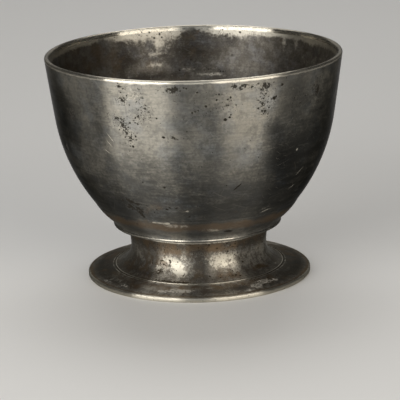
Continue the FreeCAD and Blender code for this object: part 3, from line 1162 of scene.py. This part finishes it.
BOWL_WEAR = Wear(
    outside={
        Trace.PITTED: [
            (-28, 52.8, 1.2, 0.8, 0.8), (-28, 49.8, 2, 1.6, 0.9), (-20, 50.6, 0.9, 0.9, 0.8),
            (-20, 48.2, 1.4, 2.2, 0.7), (-23, 52.2, 4, 1.4, 0.35), (-8, 52.6, 3.2, 0.9, 1),
            (-22.5, 45.6, 1.8, 1.6, 0.9), (-31, 45, 2.4, 1.1, 0.9), (-28.2, 43.6, 2.2, 1.8, 1),
            (-26.4, 41.2, 1.8, 2.2, 1), (-8.9, 41, 1.8, 0.9, 0.9), (-35, 45.6, 1.2, 0.5, 0.8),
            (-17, 46, 1.2, 2.4, 0.6), (3, 48, 5, 3, 0.3), (12.5, 48.4, 2.6, 3, 0.4),
            (14.5, 52.8, 1.3, 0.9, 0.8), (17, 52.6, 1, 0.9, 1), (21.5, 52.4, 1, 0.8, 0.8),
            (27, 52.2, 2.2, 1.2, 1), (26, 50.8, 1.4, 0.8, 0.8), (26.5, 48, 1.8, 1.4, 0.95),
            (27, 46.1, 1.3, 0.8, 0.9), (29, 48.5, 3, 5, 0.4), (44, 48, 4, 2, 0.4),
            (-31, 22.8, 3.6, 2.4, 0.9), (55, 48, 2, 4, 0.5), (150, 44, 5, 4, 0.6),
            (-120, 38, 6, 4, 0.5), (100, 30, 4, 3, 0.5),
        ],
        # The lower half is darker, and painted shade darkens both flanks.
        # Painted shade also darkens strips beside the two highlights and the middle between them.
        Trace.TONED: [
            (0, 23, ALL_ROUND, 13, 1.2), (8, 42, 2.6, 12, 0.6), (31.5, 42, 3, 5, 0.8),
            (33, 35.5, 4, 6, 0.4), (39, 34, 8, 10, 1.05), (62, 40, 14, 20, 0.9),
            (-62, 42, 9, 10, 0.8), (-80, 38, 12, 14, 0.7), (2, 47, 5, 9, 0.35),
            (-15, 22.5, 9, 4.5, -0.4), (-40, 45, 3.4, 9, 0.4), (-6, 34, 4, 4, 0.4),
            (-22, 33.5, 6, 5, 0.3), (140, 36, 16, 12, 0.5), (-150, 44, 12, 10, 0.4),
            (95, 28, 14, 8, 0.4),
        ],
        # Brown film has stayed around the collar.
        Trace.FILMED: [
            (0, 17, ALL_ROUND, 2.4, 1.3), (22, 22, 5, 3, 0.5), (-12, 22.5, 10, 4, 0.8),
            (-52, 30, 7, 6, 0.4), (120, 24, 9, 5, 0.5),
        ],
        # Where corrosion has eaten in, the pits run together.
        Trace.STAINED: [
            (-28.6, 52.9, 0.8, 0.6, 0.75), (-27.2, 52.7, 0.6, 0.5, 0.68),
            (-28.3, 50, 1, 0.8, 0.65), (-27, 49.4, 0.8, 0.8, 0.65), (-9.4, 52.5, 1, 0.8, 0.75),
            (-7.9, 52.5, 0.9, 0.9, 0.82), (-6.5, 52.8, 0.9, 0.8, 0.68),
            (-31.4, 45, 1.5, 0.6, 0.72), (-28.6, 44, 1.3, 1.1, 0.75),
            (-27.6, 42.3, 1.2, 1.3, 0.72), (-25.9, 40.4, 0.9, 0.9, 0.7),
            (-22.2, 45.6, 1, 0.8, 0.65), (-8.6, 41.2, 0.8, 0.5, 0.7), (-7.2, 40.8, 0.8, 0.5, 0.7),
            (14.4, 52.8, 0.9, 0.6, 0.75), (16.9, 52.5, 1.3, 0.8, 0.82), (19, 52.8, 0.8, 0.5, 0.68),
            (21.5, 52.4, 0.8, 0.8, 0.68), (26.6, 52.6, 1.3, 0.8, 0.82), (28, 52.1, 1, 0.8, 0.75),
            (25.8, 51.6, 0.8, 0.5, 0.68), (26.1, 50.8, 0.8, 0.5, 0.65), (26.4, 48.2, 1, 0.9, 0.68),
            (27.1, 46.1, 0.8, 0.8, 0.95), (12.4, 48.5, 0.8, 0.5, 0.65),
            (-31, 23.4, 1.5, 1.1, 0.95), (-29.5, 22, 1.2, 0.7, 0.9), (-33, 21.8, 1.2, 0.8, 0.9),
            (-34.5, 24.6, 1, 0.8, 0.8), (24, 52.9, 0.6, 0.4, 0.7), (-13, 52.4, 0.6, 0.5, 0.6),
            (-56, 44.4, 2.1, 2.5, 0.65), (53, 50, 1.4, 1.8, 0.65), (-9.5, 54.6, 0.7, 0.35, 1.7),
            (-7.6, 54.6, 0.4, 0.3, 1.5), (0, 19, ALL_ROUND, 0.6, -0.9),
            (0, 13.9, ALL_ROUND, 1, -0.5),
        ],
        # Hands have kept some places clean, but the turned line is too fine for them.
        # Painted highlights brighten the upper wall and the collar where the two lights fall,
        # and beads on the collar's line; painted shade dims the bead's sides.
        Trace.RUBBED: [
            (0, 19, ALL_ROUND, 0.8, -1.6), (0, 13.6, ALL_ROUND, 0.5, -1),
            (-20.5, 18.6, 1.6, 0.35, 1.35), (-24.5, 18.6, 0.8, 0.35, 1.3),
            (-16.5, 18.6, 0.8, 0.35, 1.3), (-12, 17.8, 4.6, 1.3, 0.46), (8, 16.4, 4, 1.4, 0.38),
            (38, 20.8, 2.6, 1, 0.42), (0, 12.8, ALL_ROUND, 0.32, -1), (-30, 13.1, 3, 0.5, -0.35),
            (28, 13.1, 4, 0.5, -0.35), (47, 13.1, 3, 0.5, -0.4), (80, 13, 14, 0.6, -0.5),
            (-85, 13, 14, 0.6, -0.5), (-22, 51, 7, 4, 0.3), (-20, 43, 6, 7, 0.2),
            (20, 47, 7, 9, 0.12),
        ],
        Trace.DENTED: [
            (37.3, 20.3, 3.2, 0.9, 0.14, -14), (-30.6, 20.6, 2, 0.7, 0.08, 52),
            (46.2, 35.3, 1.6, 1.2, 0.12), (-69, 35, 1.5, 1.5, 0.12), (-28, 43.3, 2.6, 2.2, 0.06),
            (27, 52.2, 1.8, 1, 0.07), (26.5, 48, 1.8, 1.4, 0.06), (-28, 49.8, 1.8, 1.4, 0.06),
            (-118, 30, 5, 3.5, 0.2), (160, 41, 4, 5, 0.18), (104, 47, 3, 4, 0.14),
        ],
    },
    inside={
        # Brown tarnish clouds the wall. On one side it thins to a bluish sheen, a painted
        # reflection.
        Trace.TONED: [
            (0, 44, ALL_ROUND, 20, 0.3), (-140, 44, 28, 16, -0.5), (157, 47, 9, 8, -0.3),
            (-148, 47, 3.6, 6, 0.9), (-179, 49, 6, 6, 0.8), (-122, 47, 6, 4, 0.3),
            (124, 49, 4, 6, 0.2), (108, 46, 14, 14, -0.9), (-153, 48, 5, 5, 0.4),
            (-160, 42.6, 7, 1.4, 0.9), (20, 40, 12, 9, 0.5),
        ],
        # Less film where the painted bluish sheen is.
        Trace.FILMED: [
            (157, 47, 9, 8, -0.8), (-132, 48, 9, 6, 0.4), (-60, 36, 14, 9, 0.7),
        ],
        Trace.PITTED: [
            (-160, 52.6, 7, 2, 0.5), (160, 52.8, 12, 1.6, 0.5), (178, 43, 8, 2, 0.3),
        ],
        # A ragged bright band under the lip hangs down in tongues, and there are wiped streaks.
        Trace.RUBBED: [
            (0, 54.3, ALL_ROUND, 1.1, 1.2), (-163, 47, 4, 5, 0.2), (-164, 47.6, 3.2, 0.4, 0.45),
            (-163, 44.9, 3.4, 0.4, 0.5), (172, 42.5, 4, 0.3, 0.7), (-178, 43.6, 3, 0.3, 0.5),
            (-149, 53, 3, 1.2, 0.4), (-138.5, 53.4, 3.6, 1.4, -0.6), (-158, 52.6, 5, 1.9, 0.9),
            (-166, 50.8, 2.2, 2.2, 0.75), (-172, 52.2, 2.2, 1.8, 0.6), (178, 53.8, 4.5, 1.6, -0.7),
            (-178, 53.8, 3, 1.6, -0.5), (170, 53, 2.6, 1, 0.5), (160, 53, 4.5, 1.4, 0.6),
            (159, 52, 0.8, 1.4, 0.4), (147, 53.4, 3, 1, 0.5), (138, 51.6, 0.9, 1.8, 0.7),
            (131, 51.6, 0.9, 1.5, 0.6), (122, 53, 4, 1.2, 0.4), (-30, 52.6, 5, 2.4, 0.8),
            (8, 52.8, 3, 1.8, 0.7), (40, 52.4, 4, 2.2, 0.7), (75, 53, 6, 1.8, 0.5),
            (-75, 52.6, 3, 2, 0.7), (-108, 53.2, 5, 1.6, 0.5), (108, 45, 14, 9, 0.35),
        ],
    },
    dark=[
        (11.7, 45.4, 0.5, 0.42), (13.1, 45.6, 0.38, 0.32), (3.8, 48.4, 0.42, 0.36),
        (-14.3, 22.7, 0.45, 0.4), (-13.7, 28.9, 0.4, 0.35), (17.7, 28.2, 1.6, 0.24, -44),
        (-30.6, 20.6, 1.9, 0.35, 52), (-33, 24, 0.9, 0.5, 20), (-12.5, 41.4, 0.5, 0.3, 20),
        (-69, 35, 0.9, 0.9), (55, 48.4, 0.9, 1.7, 15), (34.5, 51.8, 0.5, 0.4), (31, 49, 0.6, 0.5),
        (19.2, 15.6, 1.5, 0.5, 6), (-28.4, 52.9, 0.4, 0.35), (-33.4, 24, 0.8, 0.5, 60),
        (-34.2, 22.6, 1, 0.7, 50), (-32, 21, 1, 0.65, 55), (-30.4, 22.3, 0.9, 0.5, 30),
        (-30.4, 19.9, 0.9, 0.5, 60), (-36.4, 22.2, 0.6, 0.35, 10), (-29.6, 23.7, 0.9, 0.25, 8),
        (-28.2, 21.6, 0.5, 0.3, -20), (-37.4, 24, 0.5, 0.3), (-12.6, 23.2, 0.4, 0.24, 20),
        (-10, 23, 0.5, 0.26, -20), (47, 31, 1.4, 0.18, 62), (49, 26.5, 1, 0.16, 48),
    ],
    # Fresh nicks, and painted highlights on the dents at 37.3 and 46.2 degrees.
    bright=[
        (-5, 22.1, 0.45, 0.25), (37.3, 20.3, 1.6, 0.13, -14), (46.2, 35.3, 0.4, 0.3, -30),
        (52, 29, 1.8, 0.07, -38), (50, 25.4, 1.3, 0.06, -30), (-34.8, 40.2, 1.7, 0.09, 50),
        (-36.2, 39, 1.3, 0.09, 46), (-37.4, 37, 1, 0.09, 30),
    ],
)

BOWL_FINISHES = (
    Finish("bowl_outside"),
    Finish(
        "bowl_inside",
        bright=(0.5, 0.47, 0.4),
        dull=(0.198, 0.184, 0.160),
        deep=(0.05, 0.043, 0.034),
        cool=(0.18, 0.187, 0.205),
        brown=(0.115, 0.083, 0.052),
        bright_rough=0.42,
        dull_rough=0.5,
        brushed=0.6,
        edge_tint=(0.9, 0.88, 0.82),
        cloud_size=8.0,
        streak_height=0.6,
        streak_share=0.45,
        deep_share=0.48,
        brown_share=0.35,
        rub_edge=0.36,
        rub_break=1.4,
        rub_stain=0.3,
        pit_share=0.004,
        scratch_share=0.3,
        scratch_light=0.15,
    ),
)


@dataclass
class Bowl(TurnedPiece):
    """The cup itself, cast and turned, on a flat seat under it.

    Attributes are sizes in mm, but the flare is in degrees and the turned line's radius is a share
    of its reach. Rises count from the seat.
    """

    wear: Wear = BOWL_WEAR
    finishes: tuple[Finish, ...] = BOWL_FINISHES
    wall: float = 1.2
    flare: float = 8.2
    wall_round: float = 43.5
    lip_round: float = 0.6
    collar_radius: float = 25.0
    collar_rise: float = 6.75
    collar_round: float = 14.0
    collar_undercut: float = 3.85
    collar_foot_rise: float = 2.4
    cove_round: float = 2.0
    bead_setback: float = 0.7
    bead_round: float = 0.38
    bead_dip: float = 0.1
    bead_lift: float = 0.4
    seat_setback: float = 2.65
    floor: float = 1.9
    floor_dish: float = 110.0
    knuckle: float = 13.0
    line_reach: float = 0.26
    line_round_share: float = 3.0

    def __post_init__(self) -> None:
        """Reads the bowl's reach and height from the frame."""
        self.rim_radius, self.seat, self.top = span(self.node)

    def draw(self) -> Outline:
        """Draws the outline from under the seat, up the outside, over the lip and down inside.

        Returns:
            The outline.
        """
        lean = math.radians(self.flare)
        up_wall = (math.sin(lean), math.cos(lean))
        inward = left_of(up_wall)
        lip_top = self.top - self.seat
        rim = (self.rim_radius, lip_top - self.lip_round)
        collar_top = (self.collar_radius, self.collar_rise)
        level = shifted(rim, inward, self.wall_round)
        run = (level[0] - collar_top[0], level[1] - collar_top[1])
        along = run[0] * up_wall[0] + run[1] * up_wall[1]
        across = run[0] ** 2 + run[1] ** 2 - along**2
        drop = along - math.sqrt(self.wall_round**2 - across)
        wall_centre = shifted(level, up_wall, -drop)
        wall_joint = shifted(rim, up_wall, -drop)
        inner_round = self.wall_round - self.wall
        floor_centre = (0, self.floor + self.floor_dish)
        knuckle_centre = circles_meet(
            wall_centre, inner_round - self.knuckle, floor_centre, self.floor_dish - self.knuckle
        )
        knuckle_top = shifted(wall_centre, toward(wall_centre, knuckle_centre), inner_round)
        knuckle_foot = shifted(
            floor_centre, toward(floor_centre, knuckle_centre), self.floor_dish
        )
        collar_foot = (self.collar_radius - self.collar_undercut, self.collar_foot_rise)
        bead_radius = collar_foot[0] - self.bead_setback
        bead_centre = (bead_radius - self.bead_round, self.bead_lift + self.bead_round)
        bead_rise = self.bead_round - self.bead_dip
        bead_top = (
            bead_centre[0] + math.sqrt(self.bead_round**2 - bead_rise**2),
            bead_centre[1] + bead_rise,
        )
        inner_rim = shifted(rim, inward, self.wall)
        groove_start = shifted(collar_top, toward(collar_top, collar_foot), self.line_reach)
        groove_end = shifted(collar_top, toward(collar_top, wall_joint), self.line_reach)

        outline = Outline((0, 0))
        outline.line_to((bead_radius - self.seat_setback, 0), pitch=2.5)
        outline.line_to((bead_centre[0], self.bead_lift), pitch=0.8)
        outline.arc_to(bead_top, self.bead_round, pitch=0.12)
        outline.arc_to(collar_foot, self.cove_round, left=False, pitch=0.25)
        outline.arc_to(groove_start, self.collar_round, pitch=0.35)
        outline.arc_to(groove_end, self.line_reach * self.line_round_share, left=False, pitch=0.14)
        outline.arc_to(wall_joint, self.wall_round, pitch=0.52)
        outline.line_to(rim, pitch=0.5)
        outline.arc_to(inner_rim, self.wall / 2 + LIP_MARGIN, pitch=0.15)
        outline.side = Side.INSIDE
        outline.line_to(shifted(wall_joint, inward, self.wall), pitch=0.7)
        outline.arc_to(knuckle_top, inner_round, left=False, pitch=0.8)
        outline.arc_to(knuckle_foot, self.knuckle, left=False, pitch=0.9)
        outline.arc_to((0, self.floor), self.floor_dish, left=False, pitch=1.2)
        bmesh.ops.translate(outline.mesh, verts=outline.mesh.verts[:], vec=(0, 0, self.seat))
        return outline

    def _swell_share(self, place: np.ndarray) -> np.ndarray:
        """Keeps the swells off the seat, which the solder grips.

        Args:
            place: The points in mm.

        Returns:
            A share for each point.
        """
        return np.clip((place[:, 2] - self.seat) / self.collar_rise, 0, 1)


def pit_row() -> list[tuple[float, ...]]:
    """Lists the pits in a row just above the foot's turned line, uneven in height and length.

    Returns:
        Their rows, as crisp marks.
    """
    places = (-31.0, -28.4, -26.0, -24.8, -22.6, -20.7, -19.4, -17.6, -15.2, -13.6, -11.0, -7.5)
    level, wander = 2.82, 0.05
    length, uneven = 0.26, 0.08
    thick = 0.13
    return [
        (around, level + wander * math.cos(around), length + uneven * math.sin(around), thick)
        for around in places
    ]


FOOT_WEAR = Wear(
    outside={
        Trace.PITTED: [
            (-31, 5.8, 2.6, 1.3, 0.8), (-23, 5, 2.2, 0.9, 0.6), (-36, 4.2, 2.6, 1.2, 0.8),
            (-18, 2.8, 5, 0.35, 1.2), (22, 3.6, 6, 1.2, 0.5), (35, 2.1, 4, 1.6, 0.7),
            (-60, 1.8, 5, 1.6, 0.5), (0, 10, ALL_ROUND, 2, 0.2), (-28, 9.4, 5, 2.2, 0.3),
            (30, 9, 4, 2.2, 0.25), (150, 2, 6, 2, 0.5),
        ],
        # Painted shade darkens the neck's top under the bowl, the middle between the two highlights
        # and both flanks of the flange; the rest is uneven tone.
        Trace.TONED: [
            (0, 10.4, ALL_ROUND, 2, 1), (0, 3.5, ALL_ROUND, 1.4, 0.3),
            (0, 1.7, ALL_ROUND, 1.2, 0.3), (23, 1.9, 3.4, 1.4, 1), (-28, 1.9, 4, 1.4, -0.5),
            (34, 2.4, 4, 1.6, -0.5), (10, 1.9, 3, 1.4, 0.3), (2, 7, 2.6, 4, 0.7),
            (-88, 2, 16, 4, 1.1), (-64, 4, 8, 5, 0.6), (84, 2, 16, 4, 1.2),
        ],
        Trace.FILMED: [
            (0, 2.2, ALL_ROUND, 2.6, 0.4), (0, 1.25, ALL_ROUND, 0.4, 0.9),
            (0, 10.8, ALL_ROUND, 1.6, 0.3), (-28, 9.6, 4, 1.6, 0.6), (12, 10.2, 3, 1.4, 0.5),
            (54, 3.7, 2.8, 0.9, 1), (56, 3.6, 9, 3.4, -0.4), (-55, 3.4, 8, 3, 0.3),
            (-80, 2.2, 10, 3, -0.5), (78, 2.2, 12, 3, -0.5), (25, 3.8, 8, 1.4, 0.6),
        ],
        Trace.STAINED: [
            (-33, 6.5, 0.8, 0.25, 0.55), (-29.5, 5.9, 0.9, 0.25, 0.6), (-26, 5.5, 0.8, 0.22, 0.55),
            (-33, 4.2, 1.5, 0.9, 0.5), (0, 2.54, ALL_ROUND, 0.4, -1.2),
            (-18, 2.72, 5.5, 0.25, 1.3), (51, 4, 1.4, 0.7, 1.1), (56, 3.6, 1.4, 0.6, 1),
            (60.5, 3.3, 1.4, 0.4, 0.7), (47, 2.2, 0.9, 0.35, 0.8), (43.5, 1.8, 0.6, 0.35, 0.7),
            (50, 1.6, 1, 0.4, 0.6), (36, 2.3, 1.6, 0.5, 0.5), (-58, 2, 5, 1.2, 0.35),
            (-90, 2.2, 6, 2, 0.35), (120, 2.4, 8, 2, 0.4), (-150, 2, 7, 2, 0.4),
        ],
        # Painted highlights brighten the sweep's two patches and the front of the turned line.
        # Painted shade dims the edge's sides. Hands have kept some of the flange clean.
        Trace.RUBBED: [
            (-20, 6.2, 4.4, 2.6, 0.95), (-15, 4.2, 2.6, 1.8, 0.9), (-10, 5.6, 1.4, 1.8, -0.4),
            (-31, 7.4, 2.4, 1.4, 0.3), (18, 6.7, 5.2, 2.6, 1), (-28.5, 5.85, 1.1, 0.35, -1.3),
            (-32, 6.1, 0.5, 0.4, -1.2), (-29, 4.9, 1.4, 0.3, -1.1), (-23.5, 4.3, 0.8, 0.25, -0.8),
            (38, 1.9, 4.4, 1.9, 0.4), (44, 5.2, 3, 1.8, 0.25), (-55, 1.85, 8, 1.6, 0.4),
            (-100, 1, 15, 0.8, -0.8), (95, 1, 13, 0.8, -0.8), (0, 2.54, ALL_ROUND, 0.5, -0.9),
            (-10, 2.48, 20, 0.16, 0.7), (-46, 2.48, 3, 0.25, 0.9),
        ],
        Trace.BLOOMED: [
            (-11, 1.8, 4.2, 1.4, 1), (-22, 1.65, 2, 0.8, 0.75), (6, 2.1, 1.8, 0.35, 0.6),
            (27, 1.45, 1.6, 0.7, 0.55), (33, 1.7, 2.4, 1.6, 0.6), (40, 2, 3.2, 1.6, 0.64),
            (48, 1.8, 2.4, 1.5, 0.52), (-60, 1.5, 3, 1, 0.55), (-46, 1.6, 2.4, 1.1, 0.5),
            (-24, 6, 2, 0.5, 0.3), (130, 1.7, 5, 1.4, 0.6), (-140, 1.9, 4, 1.6, 0.6),
        ],
        Trace.DENTED: [
            (-34, 4.6, 1.5, 0.8, 0.08), (-32, 6, 1, 0.5, 0.05, 20), (-27.5, 5.6, 0.9, 0.4, 0.05),
            (-29.5, 6.6, 0.7, 0.35, 0.04), (60, 1.5, 2.5, 1.2, 0.1), (-110, 1.7, 3, 1.5, 0.12),
        ],
    },
    dark=[
        *pit_row(),
        (-29.5, 2.5, 0.4, 0.15), (53, 3.8, 1.1, 0.35), (31, 1.5, 0.25, 0.3),
    ],
    bright=[
        (73, 3, 0.25, 0.2), (65.6, 10.1, 0.25, 0.2), (-37, 5.3, 0.35, 0.2), (-26, 6.45, 0.4, 0.16),
    ],
)

FOOT_FINISHES = (
    Finish(
        "foot_outside",
        bright=(0.55, 0.515, 0.43),
        dull=(0.42, 0.392, 0.33),
        deep=(0.13, 0.115, 0.095),
        cool=(0.24, 0.242, 0.235),
        speckled=1.0,
        streak_height=0.8,
        streak_share=0.5,
        brown=(0.17, 0.118, 0.07),
        grime=(0.028, 0.02, 0.011),
        cloud_size=6.0,
        deep_share=0.46,
        mottled=0.8,
        softness=0.055,
        brown_share=0.36,
        rub_break=1.6,
        rub_stain=0.4,
        haze=0.13,
        edge_tint=(0.32, 0.33, 0.33),
        bright_rough=0.33,
        dull_rough=0.36,
        pit_share=0.02,
        grain_height=0.0018,
    ),
    Finish(
        "foot_underside", dull=(0.24, 0.22, 0.185), deep=(0.1, 0.088, 0.07), dull_rough=0.5
    ),
)


@dataclass
class Foot(TurnedPiece):
    """The hollow trumpet foot, cast and turned.

    Attributes are sizes in mm, but the slope is in degrees.
    """

    wear: Wear = FOOT_WEAR
    finishes: tuple[Finish, ...] = FOOT_FINISHES
    neck_radius: float = 16.55
    neck_flare: float = 0.6
    wall: float = 1.0
    sweep: float = 4.8
    slope: float = 12.5
    land: float = 0.5
    edge_height: float = 1.1
    edge_round: float = 0.4
    ring_width: float = 2.6
    ring_round: float = 0.3
    line_inset: float = 6.5
    line_round: float = 0.2

    def __post_init__(self) -> None:
        """Reads the foot's reach and height from the frame."""
        self.radius, self.bottom, self.top = span(self.node)

    def draw(self) -> Outline:
        """Draws the outline from the resting ring, up the outside and down the hollow.

        Returns:
            The outline.
        """
        slope = math.radians(self.slope)
        down_slope = (math.cos(slope), -math.sin(slope))
        upward = left_of(down_slope)
        edge_top = (self.radius, self.edge_height)
        ring_inside = self.radius - self.ring_width
        bore = self.neck_radius - self.wall
        sweep_x = self.neck_radius + self.sweep
        rise = (self.radius - sweep_x) * math.tan(slope)
        sweep_centre = (sweep_x, self.edge_height + rise + self.sweep / math.cos(slope))
        sweep_foot = shifted(sweep_centre, upward, -self.sweep)
        inner_sweep = self.sweep + self.wall
        inner_foot = shifted(sweep_centre, upward, -inner_sweep)
        ring_top = inner_foot[1] - (ring_inside - inner_foot[0]) * math.tan(slope)
        land = (self.neck_radius + self.neck_flare, self.top - self.land)
        climb = land[1] - sweep_centre[1]
        neck_round = (self.neck_flare**2 + climb**2) / (2 * self.neck_flare)
        line = shifted(edge_top, down_slope, -self.line_inset / math.cos(slope))
        groove = self.line_round
        corner = self.edge_round * math.tan((math.pi / 2 - slope) / 2)

        outline = Outline((ring_inside + self.ring_round, 0))
        outline.line_to((self.radius - self.edge_round, 0), pitch=0.5)
        outline.arc_to((self.radius, self.edge_round), self.edge_round, pitch=0.2)
        outline.line_to((self.radius, self.edge_height - corner), pitch=0.3)
        outline.arc_to(shifted(edge_top, down_slope, -corner), self.edge_round, pitch=0.18)
        outline.line_to(shifted(line, down_slope, groove), pitch=0.35)
        outline.arc_to(shifted(line, down_slope, -groove), groove, left=False, pitch=0.16)
        outline.line_to(sweep_foot, pitch=0.35)
        outline.arc_to((self.neck_radius, sweep_centre[1]), self.sweep, left=False, pitch=0.35)
        outline.arc_to(land, neck_round, left=False, pitch=0.35)
        outline.line_to((land[0], self.top), pitch=0.3)
        outline.line_to((bore, self.top), pitch=0.65)
        outline.side = Side.INSIDE
        outline.line_to((bore, sweep_centre[1]), pitch=0.8)
        outline.arc_to(inner_foot, inner_sweep, pitch=0.6)
        outline.line_to((ring_inside, ring_top), pitch=0.7)
        outline.line_to((ring_inside, self.ring_round), pitch=0.4)
        outline.arc_to((ring_inside + self.ring_round, 0), self.ring_round, pitch=0.15)
        return outline

    def _swell_share(self, place: np.ndarray) -> np.ndarray:
        """Keeps the swells off the resting ring and the neck's top.

        Args:
            place: The points in mm.

        Returns:
            A share for each point.
        """
        up = place[:, 2]
        return np.clip(up / self.edge_height, 0, 1) * np.clip((self.top - up) / self.land, 0, 1)


@dataclass
class Solder(TurnedPiece):
    """The ring of soft solder that joins the foot to the bowl, run out unevenly.

    Attributes are sizes in mm, but a fillet's radius is a share of its reach.
    """

    finishes: tuple[Finish, ...] = (
        Finish("solder", dull=(0.16, 0.158, 0.148), deep=(0.07, 0.068, 0.06)),
    )
    outer_reach: float = 0.5
    inner_reach: float = 0.9
    fillet_share: float = 1.6
    film: float = 0.2
    neck_top_radius: float = 17.15
    bore: float = 15.55

    def __post_init__(self) -> None:
        """Reads the seam's height from the frame."""
        self.top = span(self.node)[-1]

    def draw(self) -> Outline:
        """Draws the film between the pieces and the fillet on each side of the neck.

        Returns:
            The outline.
        """
        low = self.top - self.film
        outside, inside = self.neck_top_radius, self.bore
        outer_round, inner_round = (
            reach * self.fillet_share for reach in (self.outer_reach, self.inner_reach)
        )
        outline = Outline((inside, low))
        outline.line_to((outside, low), pitch=0.6)
        outline.line_to((outside, self.top - self.outer_reach), pitch=0.2)
        outline.arc_to((outside + self.outer_reach, self.top), outer_round, left=False, pitch=0.12)
        outline.line_to((inside - self.inner_reach, self.top), pitch=0.9)
        outline.arc_to((inside, self.top - self.inner_reach), inner_round, left=False, pitch=0.2)
        outline.line_to((inside, low), pitch=0.3)
        return outline


@dataclass(frozen=True)
class Softbox:
    """A large soft light that faces the cup.

    Attributes:
        name: Its name.
        around: Degrees from the front.
        away: Distance from the cup's axis in metres.
        up: Height of its middle in metres.
        width: Its width in metres.
        height: Its height in metres.
        watts: Its power.
        colour: Its colour.
        aim_height: Height of what it faces, in metres.
    """

    name: str
    around: float
    away: float
    up: float
    width: float
    height: float
    watts: float
    colour: Colour
    aim_height: float = 0.03

    def build(self) -> None:
        """Makes the light."""
        data = bpy.data.lights.new(self.name, "AREA")
        data.shape = "RECTANGLE"
        data.size = self.width
        data.size_y = self.height
        data.energy = self.watts
        data.color = self.colour
        lamp = bpy.data.objects.new(self.name, data)
        lamp.visible_camera = False
        turn = math.radians(self.around)
        spot = Vector((math.sin(turn) * self.away, -math.cos(turn) * self.away, self.up))
        aim = Vector((0, 0, self.aim_height)) - spot
        lamp.location = spot
        lamp.rotation_euler = aim.to_track_quat("-Z", "Y").to_euler()
        bpy.context.scene.collection.objects.link(lamp)


@dataclass
class Studio:
    """A plain pale floor, large soft lights on every side, and the camera.

    Attributes:
        floor_reach: Half the floor's width in metres.
        floor_colour: The floor's colour.
        floor_rough: The floor's roughness.
        world_level: Brightness of the plain grey surroundings.
        camera_distance: From the cup's axis, level, in metres.
        camera_height: Above the table, in metres.
        camera_tilt: Degrees that it looks down.
        camera_pan: Degrees that it looks to the right of the axis.
        camera_roll: Degrees that it is rolled.
        camera_lens: Focal length in mm.
        camera_sensor: Width of its sensor in mm.
        lights: The soft lights.
    """

    floor_reach: float = 4.0
    floor_colour: Colour = (0.72, 0.715, 0.70)
    floor_rough: float = 0.6
    world_level: float = 0.06
    camera_distance: float = 0.5102
    camera_height: float = 0.1524
    camera_tilt: float = 14.787
    camera_pan: float = 0.082
    camera_roll: float = -1.447
    camera_lens: float = 194.75
    camera_sensor: float = 36.0
    lights: tuple[Softbox, ...] = (
        Softbox("left_softbox", -44.5, 0.60, 0.22, 0.58, 0.42, 3.5, (1.0, 0.98, 0.95)),
        Softbox("right_softbox", 40.0, 0.60, 0.22, 0.57, 0.42, 2.4, (1.0, 0.95, 0.88)),
        Softbox("front_softbox", -3.5, 0.75, 0.30, 0.70, 0.40, 0.9, (0.94, 0.97, 1.0)),
        Softbox("back_softbox", 180.0, 0.90, 0.30, 0.90, 0.35, 0.5, (1.0, 0.99, 0.97)),
        Softbox("top_softbox", 180.0, 0.45, 0.75, 0.60, 0.50, 2.6, (1.0, 0.99, 0.97)),
    )

    def build(self) -> None:
        """Makes the floor, the surroundings, the lights and the camera."""
        self.make_floor()
        self.make_world()
        for light in self.lights:
            light.build()
        self.make_camera()
        bpy.context.scene.view_settings.view_transform = "Standard"

    def make_floor(self) -> None:
        """Makes the pale floor."""
        shape = bmesh.new()
        bmesh.ops.create_grid(shape, x_segments=4, y_segments=4, size=self.floor_reach)
        mesh = bpy.data.meshes.new("floor")
        shape.to_mesh(mesh)
        shape.free()
        material = bpy.data.materials.new("floor_paper")
        material.use_nodes = True
        material.node_tree.nodes.clear()
        graph = Graph(material.node_tree)
        look = {"Base Color": self.floor_colour, "Roughness": self.floor_rough}
        shader = graph.node("BsdfPrincipled", look)
        graph.node("OutputMaterial", {"Surface": shader.outputs[0]})
        mesh.materials.append(material)
        floor = bpy.data.objects.new("floor", mesh)
        bpy.context.scene.collection.objects.link(floor)

    def make_world(self) -> None:
        """Makes plain grey surroundings."""
        world = bpy.data.worlds.new("surroundings")
        world.use_nodes = True
        background = world.node_tree.nodes["Background"]
        background.inputs["Color"].default_value = (1.0, 1.0, 1.0, 1.0)
        background.inputs["Strength"].default_value = self.world_level
        bpy.context.scene.world = world

    def make_camera(self) -> None:
        """Makes the camera at the photograph's viewing angle."""
        data = bpy.data.cameras.new("camera")
        data.lens = self.camera_lens
        data.sensor_width = self.camera_sensor
        camera = bpy.data.objects.new("camera", data)
        place = Matrix.Translation((0, -self.camera_distance, self.camera_height))
        pan = Matrix.Rotation(-math.radians(self.camera_pan), 4, "Z")
        tilt = Matrix.Rotation(math.radians(90 - self.camera_tilt), 4, "X")
        roll = Matrix.Rotation(math.radians(self.camera_roll), 4, "Z")
        camera.matrix_world = place @ pan @ tilt @ roll
        bpy.context.scene.collection.objects.link(camera)
        bpy.context.scene.camera = camera


def main() -> None:
    """Builds the studio and the measure, piece by piece."""
    logging.basicConfig(level=logging.INFO, format="%(name)s: %(message)s")
    Studio().build()
    effects = Effects()
    pieces = [
        Foot("measure_foot", "foot", "foot_pewter", off_axis=0.2),
        Solder("measure_solder", "solder_seam", "solder", segments=224),
        Bowl("measure_bowl", "bowl", "bowl_pewter"),
    ]
    for piece in pieces:
        piece.build(effects)


if __name__ == "__main__":
    main()
